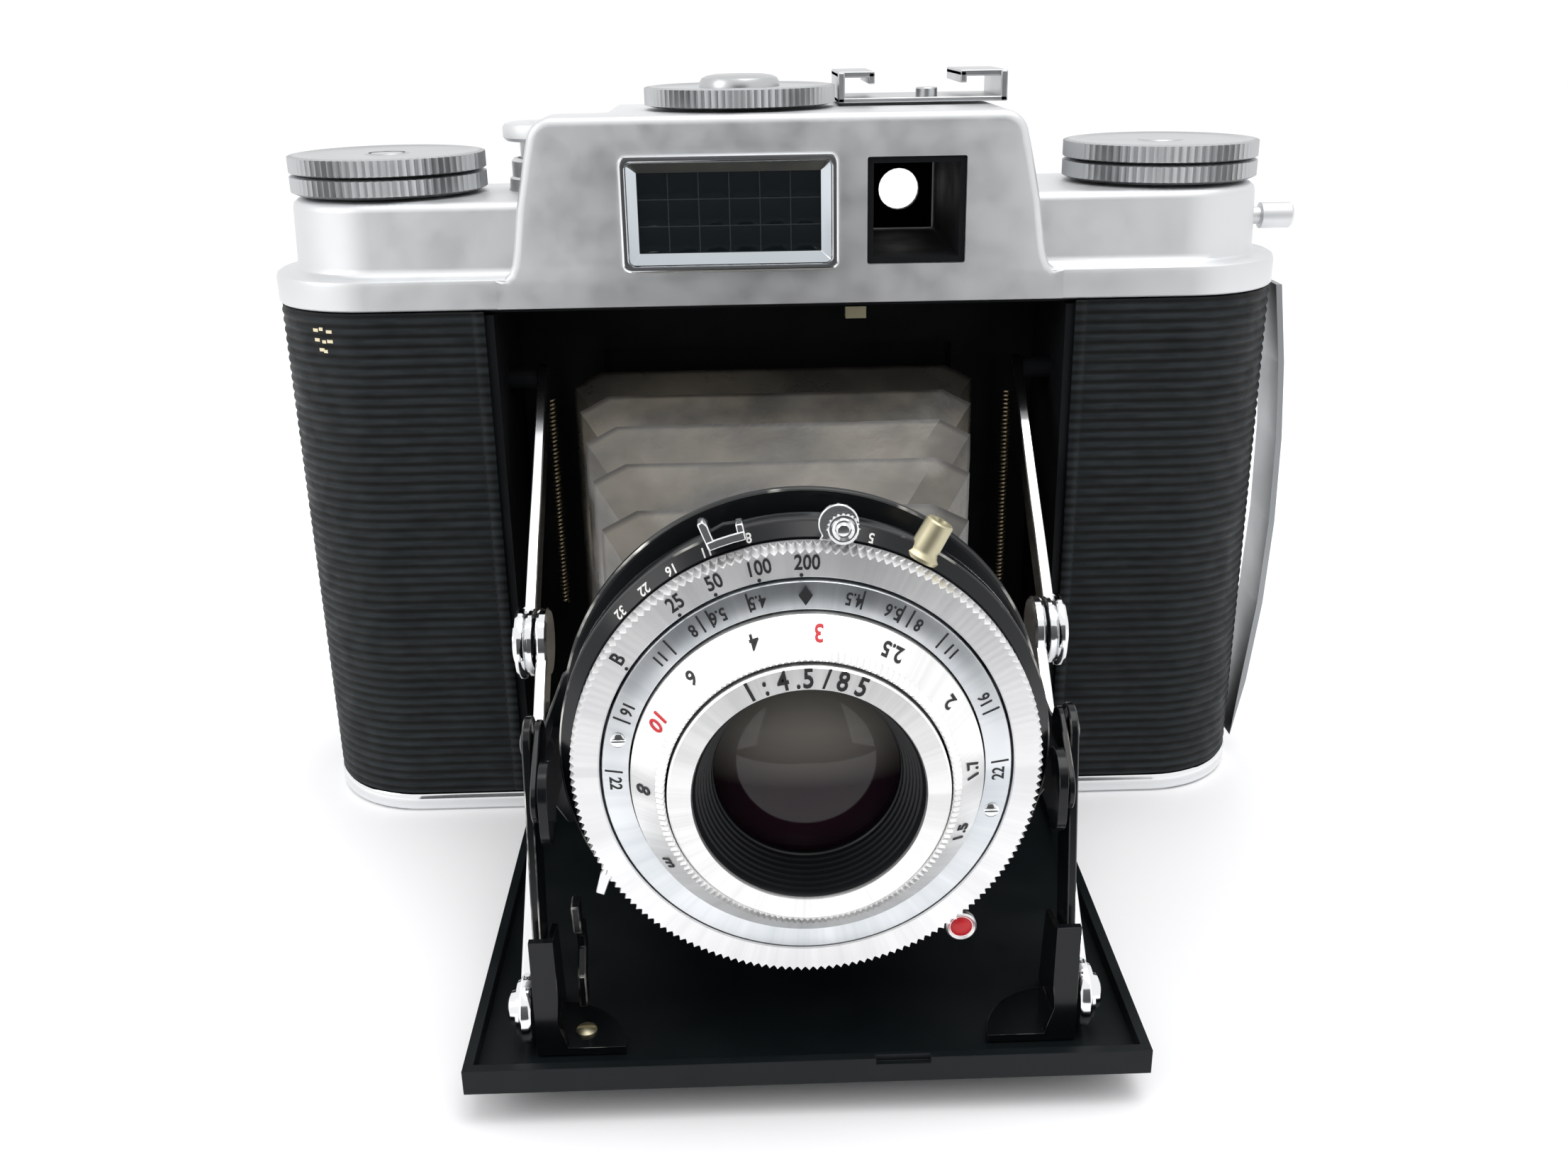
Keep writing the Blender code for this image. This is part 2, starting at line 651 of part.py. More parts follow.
def shutter():
    housing = [
        (16.0, -76.4), (27.0, -76.4), (27.6, -77.2), (27.6, -79.6), (26.2, -81.0), (16.0, -81.0),
    ]
    back = [(16.0, -70.7), (25.5, -70.7), (25.5, -76.4)]
    profile = back + housing[1:]
    body = turned(profile, lens_centre(), "y", 48)
    solid("shutter_housing", body, enamel(), lens_pivot())
    speed = [(22.7, -84.0), (22.7, -81.4), (25.4, -81.4), (25.95, -81.9), (25.95, -83.9), (25.4, -84.5)]
    solid("speed_ring", turned(speed, lens_centre(), "y", 72), satin(), lens_pivot())
    solid("scale_ring", ring(19.5, 22.4, -85.2, -81.4, lens_centre(), "y"), satin(), lens_pivot())
    focus = [(16.0, -81.4), (19.2, -81.4), (19.2, -86.1), (16.8, -88.7), (16.3, -89.2), (15.4, -89.4), (15.4, -83.0)]
    solid("focus_ring", turned(focus, lens_centre(), "y", 48), satin(), lens_pivot())
    cell = [(10.6, -80.6), (15.1, -80.6), (15.1, -89.6), (14.4, -90.2), (13.2, -90.2), (12.9, -89.0), (10.6, -84.6)]
    solid("front_cell", turned(cell, lens_centre(), "y", 48), satin(), lens_pivot())
    dome = [(0, -86.6), (3.5, -86.4), (7.0, -85.7), (10.3, -84.4), (10.3, -82.6), (0, -82.6)]
    tint = glass("coated_glass", (0.1, 0.05, 0.07))
    solid("front_glass", turned(dome, lens_centre(), "y", 32), tint, lens_pivot())
    rear = [(7.5, -78.9), (12.0, -78.9), (12.0, -71.0), (10.5, -70.0), (10.5, -66.8), (7.5, -66.8)]
    solid("rear_cell", turned(rear, lens_centre(), "y", 32), matt_black(), lens_pivot())


def lever(name, angle, inner, outer, width, y, material, tip=0.0):
    """A radial tab on the shutter rim; angle is from +X towards +Z, in degrees."""
    outline = [(inner, -width / 2), (outer, -width / 2), (outer, width / 2), (inner, width / 2)]
    if tip:
        outline = outline[:1] + arc((outer - tip, 0.0), tip, -80, 80, 6) + outline[3:]
    turn = math.radians(angle)
    points = []
    for u, v in outline:
        x = LENS_X + u * math.cos(turn) - v * math.sin(turn)
        z = LENS_Z + u * math.sin(turn) + v * math.cos(turn)
        points.append((x, z))
    return solid(name, prism(points, *y, "y"), material, lens_pivot(y[0]))


def levers():
    lever("aperture_lever", 112.0, 27.9, 31.0, 5.0, (-79.6, -77.8), chrome())
    lever("cocking_lever", 83.5, 26.3, 29.2, 2.0, (-83.2, -81.5), chrome(), 2.0)
    lever("self_timer_lever", -51.0, 26.3, 31.3, 2.0, (-83.2, -81.5), chrome(), 2.0)
    lever("trip_lever", 211.0, 26.3, 29.2, 1.6, (-83.2, -81.9), chrome())
    post = turned([(0, 27.9), (1.7, 27.9), (1.7, 31.3), (0, 31.3)], (0.0, -78.8), "z", 16)
    post.transform(Matrix.Rotation(math.radians(28.0), 4, "Y"))
    post.transform(Matrix.Translation((LENS_X, 0.0, LENS_Z)))
    solid("sync_socket", post, brass(), lens_pivot(-78.8))


def main():
    clear_scene()
    bottom_plate()
    for side, word in ((-1, "left"), (1, "right")):
        chamber("film_chamber_" + word, side)
        front_leather("front_leather_" + word, side)
    film_gate()
    top_deck()
    top_housing()
    meter_window()
    viewfinder()
    accessory_shoe()
    strap_stud()
    bellows()
    back_door()
    back_latch()
    knobs()
    spool("take_up_spool", KNOB_X)
    spool("supply_spool", -KNOB_X)
    exposure_dial()
    release()
    bed_door()
    door_catch()
    release_arm()
    for side, word in ((-1, "left"), (1, "right")):
        bracket("bracket_" + word, side)
        linkage(word, side)
    lens_standard()
    shutter()
    levers()


main()
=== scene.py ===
"""A folding roll-film camera, opened, on a white table: the detailed pieces over the CAD frame."""

import math

import bmesh
import bpy
from mathutils import Matrix, Vector, noise


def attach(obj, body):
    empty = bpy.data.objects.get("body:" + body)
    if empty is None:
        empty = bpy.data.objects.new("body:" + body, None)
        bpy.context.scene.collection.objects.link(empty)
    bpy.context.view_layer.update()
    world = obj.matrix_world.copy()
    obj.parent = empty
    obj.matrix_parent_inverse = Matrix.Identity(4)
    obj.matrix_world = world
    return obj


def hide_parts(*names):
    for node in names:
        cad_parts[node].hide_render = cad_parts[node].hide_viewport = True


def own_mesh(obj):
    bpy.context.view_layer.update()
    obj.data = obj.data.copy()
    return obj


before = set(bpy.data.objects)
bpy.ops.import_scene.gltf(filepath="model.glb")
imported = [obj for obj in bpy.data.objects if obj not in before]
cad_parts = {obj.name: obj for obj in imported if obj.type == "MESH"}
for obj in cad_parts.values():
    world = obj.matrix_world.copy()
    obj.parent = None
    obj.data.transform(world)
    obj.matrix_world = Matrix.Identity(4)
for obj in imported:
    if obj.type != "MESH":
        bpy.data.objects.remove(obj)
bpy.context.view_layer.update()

MM = 0.001
LENS = (0.4, 41.6)
BELLOWS_X = -1.0
BELLOWS_BACK = 7.9
BELLOWS_FRONT = -68.9
RIB_START = 3.3
RIB_PITCH = 1.46
EAR = (-81.8, 37.7)
FOOT = (-80.8, 15.4)
ELBOW = (-76.1, 41.8)
STRUT_TOP = Vector((-6.0, 68.3))
STRUT_FOOT = Vector((-82.5, 10.3))
KNEE = STRUT_TOP + (STRUT_FOOT - STRUT_TOP).normalized() * 46.4
HINGE = (-16.5, 5.5)
FACE = -16.6
KNOB = (57.6, 0.7)

# ---------------------------------------------------------------- materials


def shader_of(material):
    return material.node_tree.nodes["Principled BSDF"]


def base_material(name, colour, metallic, roughness):
    material = bpy.data.materials.new(name)
    material.use_nodes = True
    shader = shader_of(material)
    shader.inputs["Base Color"].default_value = (*colour, 1.0)
    shader.inputs["Metallic"].default_value = metallic
    shader.inputs["Roughness"].default_value = roughness
    return material


def noise_node(material, scale, detail=3.0, stretch=(1, 1, 1)):
    nodes = material.node_tree.nodes
    links = material.node_tree.links
    where = nodes.new("ShaderNodeTexCoord")
    mapping = nodes.new("ShaderNodeMapping")
    mapping.inputs["Scale"].default_value = stretch
    texture = nodes.new("ShaderNodeTexNoise")
    texture.inputs["Scale"].default_value = scale
    texture.inputs["Detail"].default_value = detail
    links.new(where.outputs["Object"], mapping.inputs["Vector"])
    links.new(mapping.outputs["Vector"], texture.inputs["Vector"])
    return texture


def add_bump(material, texture, strength, distance):
    nodes = material.node_tree.nodes
    links = material.node_tree.links
    bump = nodes.new("ShaderNodeBump")
    bump.inputs["Strength"].default_value = strength
    bump.inputs["Distance"].default_value = distance * MM
    links.new(texture.outputs["Fac"], bump.inputs["Height"])
    links.new(bump.outputs["Normal"], shader_of(material).inputs["Normal"])


def vary(material, texture, socket, low, high, start=0.35, end=0.65):
    """Drives a shader value or colour between low and high by a texture."""
    nodes = material.node_tree.nodes
    links = material.node_tree.links
    ramp = nodes.new("ShaderNodeValToRGB")
    ramp.color_ramp.elements[0].position = start
    ramp.color_ramp.elements[1].position = end
    for element, value in zip(ramp.color_ramp.elements, (low, high)):
        element.color = (*value, 1.0) if isinstance(value, tuple) else (value, value, value, 1.0)
    links.new(texture.outputs["Fac"], ramp.inputs["Fac"])
    links.new(ramp.outputs["Color"], shader_of(material).inputs[socket])


def object_axes(material):
    """The object-space position, as separate X, Y and Z."""
    nodes = material.node_tree.nodes
    where = nodes.new("ShaderNodeTexCoord")
    parts = nodes.new("ShaderNodeSeparateXYZ")
    material.node_tree.links.new(where.outputs["Object"], parts.inputs["Vector"])
    return parts.outputs


def remap(material, source, start, end, low=0.0, high=1.0):
    """The value that runs from low to high as the source runs from start to end."""
    spread = material.node_tree.nodes.new("ShaderNodeMapRange")
    for socket, value in (("From Min", start), ("From Max", end), ("To Min", low), ("To Max", high)):
        spread.inputs[socket].default_value = value
    material.node_tree.links.new(source, spread.inputs["Value"])
    return spread.outputs["Result"]


def mixed(material, mode, **sockets):
    """Mixes into the base colour. A socket takes a link, a number, a colour, or "base", the colour so far."""
    links = material.node_tree.links
    target = shader_of(material).inputs["Base Color"]
    mix = material.node_tree.nodes.new("ShaderNodeMixRGB")
    mix.blend_type = mode
    for name, value in sockets.items():
        if value == "base":
            value = target.links[0].from_socket
        if isinstance(value, bpy.types.NodeSocket):
            links.new(value, mix.inputs[name])
        else:
            mix.inputs[name].default_value = (*value, 1.0) if isinstance(value, tuple) else value
    links.new(mix.outputs["Color"], target)


def metal(name, colour, low, high, grain=900.0, bump=0.05, stretch=(1, 1, 1)):
    material = base_material(name, colour, 1.0, (low + high) / 2)
    vary(material, noise_node(material, grain / 8, 4.0, stretch), "Roughness", low, high)
    add_bump(material, noise_node(material, grain, 2.0, stretch), bump, 0.05)
    return material


def paint(name, colour, low, high, grain=300.0, bump=0.05, shine=0.5):
    material = base_material(name, colour, 0.0, (low + high) / 2)
    vary(material, noise_node(material, grain / 5, 4.0), "Roughness", low, high)
    add_bump(material, noise_node(material, grain, 3.0), bump, 0.05)
    shader_of(material).inputs["Specular IOR Level"].default_value = shine
    return material


SATIN = metal("satin_housing", (0.7, 0.71, 0.72), 0.42, 0.52, 1500.0, 0.12)
KNURL = metal("knurled_metal", (0.5, 0.51, 0.52), 0.3, 0.4, 900.0, 0.05)
CHROME = metal("bright_chrome", (0.82, 0.83, 0.84), 0.08, 0.16, 400.0, 0.02)
STEEL = metal("grey_steel", (0.3, 0.31, 0.32), 0.3, 0.4, 600.0, 0.05)
NICKEL = metal("dull_nickel", (0.52, 0.48, 0.33), 0.35, 0.5, 600.0, 0.08)
BRASS = metal("old_brass", (0.62, 0.52, 0.34), 0.3, 0.45, 600.0, 0.08)
ENAMEL = paint("black_enamel", (0.004, 0.005, 0.006), 0.14, 0.24, 260.0, 0.06, 0.3)
DOOR_PAINT = paint("bed_paint", (0.004, 0.006, 0.007), 0.35, 0.5, 500.0, 0.1, 0.22)
MATT = paint("matt_black", (0.003, 0.004, 0.005), 0.6, 0.8, 500.0, 0.15, 0.2)
DARK = paint("funnel_black", (0.005, 0.006, 0.007), 0.34, 0.45, 500.0, 0.05, 0.3)
INK = paint("ink", (0.008, 0.008, 0.01), 0.5, 0.6)
RED = paint("red_ink", (0.6, 0.012, 0.02), 0.35, 0.45)
WHITE = paint("white_ink", (0.75, 0.75, 0.73), 0.4, 0.5)
GOLD = paint("gold_fleck", (0.85, 0.74, 0.5), 0.35, 0.5)


def metal_with_painted_streaks(name, colour, dark, low, high, spokes, centre):
    """Metal turned on a lathe, with painted highlights: its colour runs lighter and darker in narrow wedges
    around the axis, as light streaks on turned metal.
    """
    material = metal(name, colour, low, high, 900.0, 0.03)
    nodes = material.node_tree.nodes
    links = material.node_tree.links
    parts = object_axes(material)
    offsets = []
    for axis, middle in (("X", centre[0]), ("Z", centre[1])):
        shift = nodes.new("ShaderNodeMath")
        shift.operation = "SUBTRACT"
        shift.inputs[1].default_value = middle * MM
        links.new(parts[axis], shift.inputs[0])
        offsets.append(shift)
    angle = nodes.new("ShaderNodeMath")
    angle.operation = "ARCTAN2"
    links.new(offsets[1].outputs[0], angle.inputs[0])
    links.new(offsets[0].outputs[0], angle.inputs[1])
    # Painted highlights: the base colour runs between the dark and the light tone in streaks around the axis.
    painted_streaks = nodes.new("ShaderNodeTexNoise")
    painted_streaks.noise_dimensions = "1D"
    painted_streaks.inputs["Scale"].default_value = spokes
    painted_streaks.inputs["Detail"].default_value = 5.0
    painted_streaks.inputs["Roughness"].default_value = 0.7
    links.new(angle.outputs[0], painted_streaks.inputs["W"])
    vary(material, painted_streaks, "Base Color", dark, colour, 0.36, 0.6)
    return material


RING = metal_with_painted_streaks("satin_ring", (0.9, 0.9, 0.9), (0.8, 0.8, 0.81), 0.34, 0.42, 4.0, LENS)
SCALE = metal_with_painted_streaks("scale_ring_metal", (0.78, 0.8, 0.82), (0.6, 0.64, 0.67), 0.28, 0.36, 1.6, LENS)
TURNED = metal_with_painted_streaks("turned_ring", (0.98, 0.98, 0.97), (0.82, 0.82, 0.82), 0.38, 0.46, 2.6, LENS)


def worn_enamel():
    """Enamel rubbed through to the metal along its edges."""
    material = base_material("worn_edge", (0.02, 0.02, 0.022), 0.0, 0.3)
    rubbed = noise_node(material, 140.0, 4.0)
    vary(material, rubbed, "Base Color", (0.01, 0.011, 0.012), (0.55, 0.54, 0.5), 0.54, 0.66)
    vary(material, rubbed, "Metallic", 0.0, 1.0, 0.54, 0.66)
    return material


WORN = worn_enamel()


def leather_material():
    material = paint("ribbed_leather", (0.009, 0.011, 0.012), 0.5, 0.68, 1400.0, 0.35)
    vary(
        material,
        noise_node(material, 220.0, 5.0, (1, 1, 6)),
        "Base Color",
        (0.006, 0.008, 0.009),
        (0.012, 0.015, 0.017),
    )
    shader_of(material).inputs["Specular IOR Level"].default_value = 0.2
    # Painted shade and sheen: the colour is multiplied by a wave with the rib pitch, darker in each groove
    # and lighter on each crest.
    wave = object_axes(material)["Z"]
    turns = 2 * math.pi / (RIB_PITCH * MM)
    for kind, value in (("SUBTRACT", RIB_START * MM), ("MULTIPLY", turns), ("COSINE", None)):
        step = material.node_tree.nodes.new("ShaderNodeMath")
        step.operation = kind
        if value is not None:
            step.inputs[1].default_value = value
        material.node_tree.links.new(wave, step.inputs[0])
        wave = step.outputs[0]
    rib_shade_and_sheen = remap(material, wave, -1.0, 0.6, 0.15, 1.6)
    mixed(material, "MULTIPLY", Fac=1.0, Color1="base", Color2=rib_shade_and_sheen)
    return material


def bellows_material():
    material = base_material("bellows_skin", (0.09, 0.08, 0.07), 0.0, 0.3)
    vary(
        material,
        noise_node(material, 70.0, 6.0, (1.0, 0.5, 1.6)),
        "Base Color",
        (0.05, 0.047, 0.042),
        (0.125, 0.112, 0.09),
        0.38,
        0.64,
    )
    vary(material, noise_node(material, 150.0, 5.0), "Roughness", 0.24, 0.42)
    add_bump(material, noise_node(material, 330.0, 7.0), 0.4, 0.2)
    shader_of(material).inputs["Specular IOR Level"].default_value = 0.6
    # Painted shade: the colour darkens to near black along each ridge, a thin shadow line under the fold.
    fold = material.node_tree.nodes.new("ShaderNodeAttribute")
    fold.attribute_name = "fold"
    line = remap(material, fold.outputs["Fac"], 0.9, 0.97, 0.0, 0.85)
    mixed(material, "MIX", Fac=line, Color1="base", Color2=(0.012, 0.01, 0.009))
    return material


def glass_material(name, colour, roughness=0.02):
    material = base_material(name, colour, 0.0, roughness)
    vary(material, noise_node(material, 500.0, 2.0), "Roughness", roughness, roughness + 0.02)
    shader_of(material).inputs["Specular IOR Level"].default_value = 0.7
    return material


def lens_material():
    """Coated glass: purple black low down, with a painted reflection that turns it pale towards the top."""
    material = glass_material("lens_glass", (0.02, 0.008, 0.012), 0.05)
    height = object_axes(material)["Z"]
    # Painted reflection: the colour runs from purple black up to pale grey with the height of the glass.
    shade = remap(material, height, (LENS[1] - 1.0) * MM, (LENS[1] + 5.5) * MM)
    mixed(material, "MIX", Fac=shade, Color1=(0.009, 0.003, 0.006), Color2=(0.15, 0.14, 0.125))
    shader_of(material).inputs["Specular IOR Level"].default_value = 0.3
    return material


LEATHER = leather_material()
BELLOWS = bellows_material()
METER = glass_material("meter_cells", (0.006, 0.009, 0.011), 0.06)
LENS_GLASS = lens_material()
RED_GLASS = glass_material("red_window_glass", (0.35, 0.01, 0.01), 0.08)

# ---------------------------------------------------------------- shapes, in millimetres


def piece(name, bm, material, body, replaces=(), bevel=0.0, segments=2, sharp=35, cutters=(), worn=False):
    """A finished piece: cut, bevelled, shaded, riding on its body, in place of its CAD nodes."""
    thing = helper(name, bm)
    for i, (cutter, operation) in enumerate(cutters):
        boolean(thing, helper(f"{name}_tool_{i}", cutter), operation)
    thing.data.materials.clear()
    thing.data.materials.append(material)
    if worn:
        thing.data.materials.append(WORN)
    if bevel:
        modifier = thing.modifiers.new("edges", "BEVEL")
        modifier.width = bevel * MM
        modifier.segments = segments
        modifier.limit_method = "ANGLE"
        modifier.angle_limit = math.radians(30)
        modifier.material = 1 if worn else -1
    thing.data.shade_smooth()
    thing.data.set_sharp_from_angle(angle=math.radians(sharp))
    if bevel:
        smooth = thing.modifiers.new("normals", "WEIGHTED_NORMAL")
        smooth.keep_sharp = True
        smooth.weight = 80
    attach(thing, body)
    if replaces:
        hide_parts(*([replaces] if isinstance(replaces, str) else replaces))
    return thing


def helper(name, bm):
    bmesh.ops.recalc_face_normals(bm, faces=bm.faces)
    for vert in bm.verts:
        vert.co = vert.co * MM
    mesh = bpy.data.meshes.new(name)
    bm.to_mesh(mesh)
    bm.free()
    thing = bpy.data.objects.new(name, mesh)
    bpy.context.scene.collection.objects.link(thing)
    return thing


def boolean(thing, tool, operation="DIFFERENCE"):
    """Applies the cut or the union at once and removes the tool."""
    modifier = thing.modifiers.new("tool", "BOOLEAN")
    modifier.operation = operation
    modifier.object = tool
    modifier.solver = "EXACT"
    graph = bpy.context.evaluated_depsgraph_get()
    mesh = bpy.data.meshes.new_from_object(thing.evaluated_get(graph))
    thing.modifiers.remove(modifier)
    thing.data = mesh
    bpy.data.objects.remove(tool, do_unlink=True)


def place(axis, low, u, v):
    if axis == "x":
        return (low, u, v)
    if axis == "y":
        return (u, low, v)
    return (u, v, low)


def prism(outline, low, high, axis="z"):
    bm = bmesh.new()
    rings = [[bm.verts.new(place(axis, at, u, v)) for u, v in outline] for at in (low, high)]
    bm.faces.new(rings[0])
    bm.faces.new(list(reversed(rings[1])))
    count = len(outline)
    for i in range(count):
        j = (i + 1) % count
        bm.faces.new((rings[0][i], rings[1][i], rings[1][j], rings[0][j]))
    return bm


def box(x, y, z):
    return prism([(x[0], y[0]), (x[1], y[0]), (x[1], y[1]), (x[0], y[1])], z[0], z[1])


def stack(rings_of_points):
    """Joins outlines of equal length, each a list of 3D points, and closes both ends."""
    bm = bmesh.new()
    rings = [[bm.verts.new(p) for p in ring] for ring in rings_of_points]
    for a, b in zip(rings, rings[1:]):
        for i in range(len(a)):
            j = (i + 1) % len(a)
            bm.faces.new((a[i], a[j], b[j], b[i]))
    bm.faces.new(rings[0])
    bm.faces.new(rings[-1])
    return bm


def turned(profile, centre, axis="z", steps=96, teeth=0, deep=0.0, span=None):
    """Turns (radius, height) points about an axis. Points in span are cut into teeth."""
    bm = bmesh.new()
    rings = []
    steps = teeth * 4 if teeth else steps
    for k, (radius, height) in enumerate(profile):
        ring = []
        for i in range(steps if radius else 1):
            angle = 2 * math.pi * i / steps
            cut = deep * (0.0, 0.6, 1.0, 0.6)[i % 4] if teeth and span[0] <= k <= span[1] else 0.0
            u = centre[0] + (radius - cut) * math.cos(angle)
            v = centre[1] + (radius - cut) * math.sin(angle)
            ring.append(bm.verts.new(place(axis, height, u, v)))
        rings.append(ring)
    pairs = list(zip(rings, rings[1:]))
    if profile[0][0] and profile[-1][0]:
        pairs.append((rings[-1], rings[0]))
    for a, b in pairs:
        for i in range(steps):
            j = (i + 1) % steps
            if len(a) == 1:
                bm.faces.new((a[0], b[j], b[i]))
            elif len(b) == 1:
                bm.faces.new((a[i], a[j], b[0]))
            else:
                bm.faces.new((a[i], a[j], b[j], b[i]))
    return bm


def pin(radius, low, high, centre, axis="z", steps=32):
    return turned([(0, low), (radius, low), (radius, high), (0, high)], centre, axis, steps)


def arc(centre, radius, start, end, steps):
    points = []
    for i in range(steps + 1):
        angle = math.radians(start + (end - start) * i / steps)
        points.append((centre[0] + radius * math.cos(angle), centre[1] + radius * math.sin(angle)))
    return points


def rounded(x0, x1, y0, y1, radius, steps=12):
    corners = (
        ((x1 - radius, y0 + radius), -90),
        ((x1 - radius, y1 - radius), 0),
        ((x0 + radius, y1 - radius), 90),
        ((x0 + radius, y0 + radius), 180),
    )
    return [p for centre, angle in corners for p in arc(centre, radius, angle, angle + 90, steps)]


def capsule(a, b, radius, end_radius=None, steps=12):
    along = math.degrees(math.atan2(b[1] - a[1], b[0] - a[0]))
    last = arc(b, end_radius or radius, along - 90, along + 90, steps)
    return last + arc(a, radius, along + 90, along + 270, steps)


def ribbon(spine, half):
    """The outline of a strip of constant width along a line of points."""
    left = []
    right = []
    for i, point in enumerate(spine):
        before = Vector(spine[max(i - 1, 0)])
        after = Vector(spine[min(i + 1, len(spine) - 1)])
        run = (after - before).normalized() * half
        left.append((point[0] - run.y, point[1] + run.x))
        right.append((point[0] + run.y, point[1] - run.x))
    return left + list(reversed(right))


def flip(outline, side):
    return [(side * u, v) for u, v in outline]


def between(low, high, side):
    return (low, high) if side > 0 else (-high, -low)


def merged(*shapes):
    """Several bmeshes as one, each still its own closed shape."""
    whole = bmesh.new()
    for shape in shapes:
        mesh = bpy.data.meshes.new("part")
        shape.to_mesh(mesh)
        shape.free()
        whole.from_mesh(mesh)
        bpy.data.meshes.remove(mesh)
    return whole


SIDES = ((-1, "left"), (1, "right"))

# ---------------------------------------------------------------- body


def level(x, y0, y1, radius, z):
    return [(u, v, z) for u, v in rounded(-x, x, y0, y1, radius, 14)]


def housing():
    rings = [
        level(75.0, -16.4, 15.6, 15.9, 80.6),
        level(75.2, -16.6, 15.8, 16.1, 80.8),
        level(75.2, -16.6, 15.8, 16.1, 84.1),
        level(75.0, -16.4, 15.6, 15.9, 84.7),
        level(74.5, -15.9, 15.1, 15.5, 85.0),
        level(72.9, -15.3, 14.6, 14.6, 85.1),
        level(72.1, -14.7, 14.1, 14.1, 85.5),
        level(71.8, -14.4, 13.8, 13.8, 86.4),
        level(71.5, -14.2, 13.6, 13.6, 94.0),
        level(71.3, -14.0, 13.4, 13.4, 94.7),
        level(70.7, -13.4, 12.8, 12.9, 95.15),
        level(69.8, -12.5, 11.9, 12.2, 95.3),
    ]
    finder = box((12.1, 26.4), (-20, 20), (85.8, 100.9))
    meter = box((-20.5, 6.5), (-20, -14.8), (87.2, 100.9))
    shaft = pin(4.6, 90, 99, KNOB)
    base = piece(
        "housing_base",
        stack(rings),
        SATIN,
        "camera",
        (),
        sharp=40,
        cutters=((finder, "DIFFERENCE"), (meter, "DIFFERENCE"), (shaft, "DIFFERENCE")),
    )
    side = [(40.4, 80.7), (40.4, 84.6), (39.2, 84.95), (38.4, 85.6), (37.95, 86.8), (37.6, 88.5)]
    side += [(36.75, 94.5), (35.3, 101.3)]
    outline = side + arc((31.2, 103.0), 3.6, 8, 90, 8)
    outline += [(-u, v) for u, v in reversed(outline)]
    hump_rings = []
    for y, inset in ((FACE - 0.03, 1.3), (FACE + 0.1, 0.55), (FACE + 0.45, 0.15), (FACE + 1.1, 0.0)):
        hump_rings.append(inset_ring(outline, inset, y))
    for y, inset in ((14.7, 0.0), (15.35, 0.15), (15.7, 0.55), (15.83, 1.3)):
        hump_rings.append(inset_ring(outline, inset, y))
    notch = prism(rounded(-60, -24, -7.5, 40, 2.0, 6), 95.25, 120.0)
    finder = box((12.1, 26.4), (-20, 20), (85.8, 100.9))
    meter = box((-20.5, 6.5), (-20, -14.8), (87.2, 100.9))
    hump = piece(
        "housing_hump",
        stack(hump_rings),
        SATIN,
        "camera",
        "top_housing",
        sharp=40,
        cutters=((notch, "DIFFERENCE"), (finder, "DIFFERENCE"), (meter, "DIFFERENCE")),
    )


def inset_ring(outline, inset, y):
    """The hump's outline drawn in by inset at the top and the sides, not at its foot."""
    ring = []
    count = len(outline)
    for i, (u, v) in enumerate(outline):
        before = Vector(outline[i - 1])
        after = Vector(outline[(i + 1) % count])
        run = (after - before).normalized()
        share = 0.0 if v < 84.7 else 1.0
        ring.append((u + run.y * -inset * share, y, v + run.x * inset * share))
    return ring


def front_leather(side, word):
    """The covering, moulded with fine ribs, with a plain strip along the recess."""
    centre = (58.9, -0.4)
    path = [(42.4, -16.35, 0.0), (42.5, -16.52, 0.0), (43.9, -16.52, 0.0), (44.1, -16.36, 0.0)]
    path += [(u, -16.4, 1.0) for u in (44.4, 48.0, 52.0, 56.0)]
    path += [(u, v, 1.0) for u, v in arc(centre, 16.0, -90, -5, 22)]
    low = RIB_START
    high = 80.3
    rows = int((high - low) / RIB_PITCH * 6)
    bm = bmesh.new()
    grid = []
    for r in range(rows + 1):
        z = low + (high - low) * r / rows
        wave = math.cos(2 * math.pi * (z - low) / RIB_PITCH)
        depth = 0.13 * max(-0.45, wave)
        line = []
        for u, v, ribbed in path:
            out = Vector((u - 58.9, v + 0.4)) if u > 58.9 else Vector((0.0, -1.0))
            push = out.normalized() * (depth * ribbed)
            line.append(bm.verts.new((side * (u + push.x), v + push.y, z)))
        grid.append(line)
    for a, b in zip(grid, grid[1:]):
        for i in range(len(a) - 1):
            bm.faces.new((a[i], a[i + 1], b[i + 1], b[i]))
    skin = piece("leather_" + word, bm, LEATHER, "camera", "front_leather_" + word, sharp=60)
    solid = skin.modifiers.new("thickness", "SOLIDIFY")
    solid.thickness = 0.35 * MM
    solid.offset = -1.0


def body_pieces():
    outline = [(75.0, -16.5, 15.7, 15.9, 0.5), (74.6, -16.1, 15.3, 15.6, 0.0)]
    rings = [level(x, y0, y1, r, z) for x, y0, y1, r, z in reversed(outline)]
    rings += [level(75.1, -16.6, 15.8, 16.0, 0.9), level(75.1, -16.6, 15.8, 16.0, 2.5)]
    rings += [level(74.8, -16.3, 15.5, 15.8, 2.9)]
    piece("base_plate", stack(rings), CHROME, "camera", "bottom_plate", sharp=50)
    for side, word in SIDES:
        front_leather(side, word)
    flecks = []
    spots = (
        (-67.5, 77.6), (-66.5, 77.8), (-65.4, 77.5), (-67.4, 76.2), (-66.2, 76.0), (-65.4, 76.1),
        (-66.8, 74.8), (-66.1, 74.6),
    )
    for i, (x, z) in enumerate(spots):
        wide = (0.8, 0.6, 0.9)[i % 3]
        ends = [(u, -0.4 - math.sqrt(16.18**2 - (abs(u) - 58.9) ** 2)) for u in (x, x + wide)]
        outline = ends + [(u, v + 0.35) for u, v in reversed(ends)]
        flecks.append(prism(outline, z, z + 0.45))
    piece("covering_flecks", merged(*flecks), GOLD, "camera")


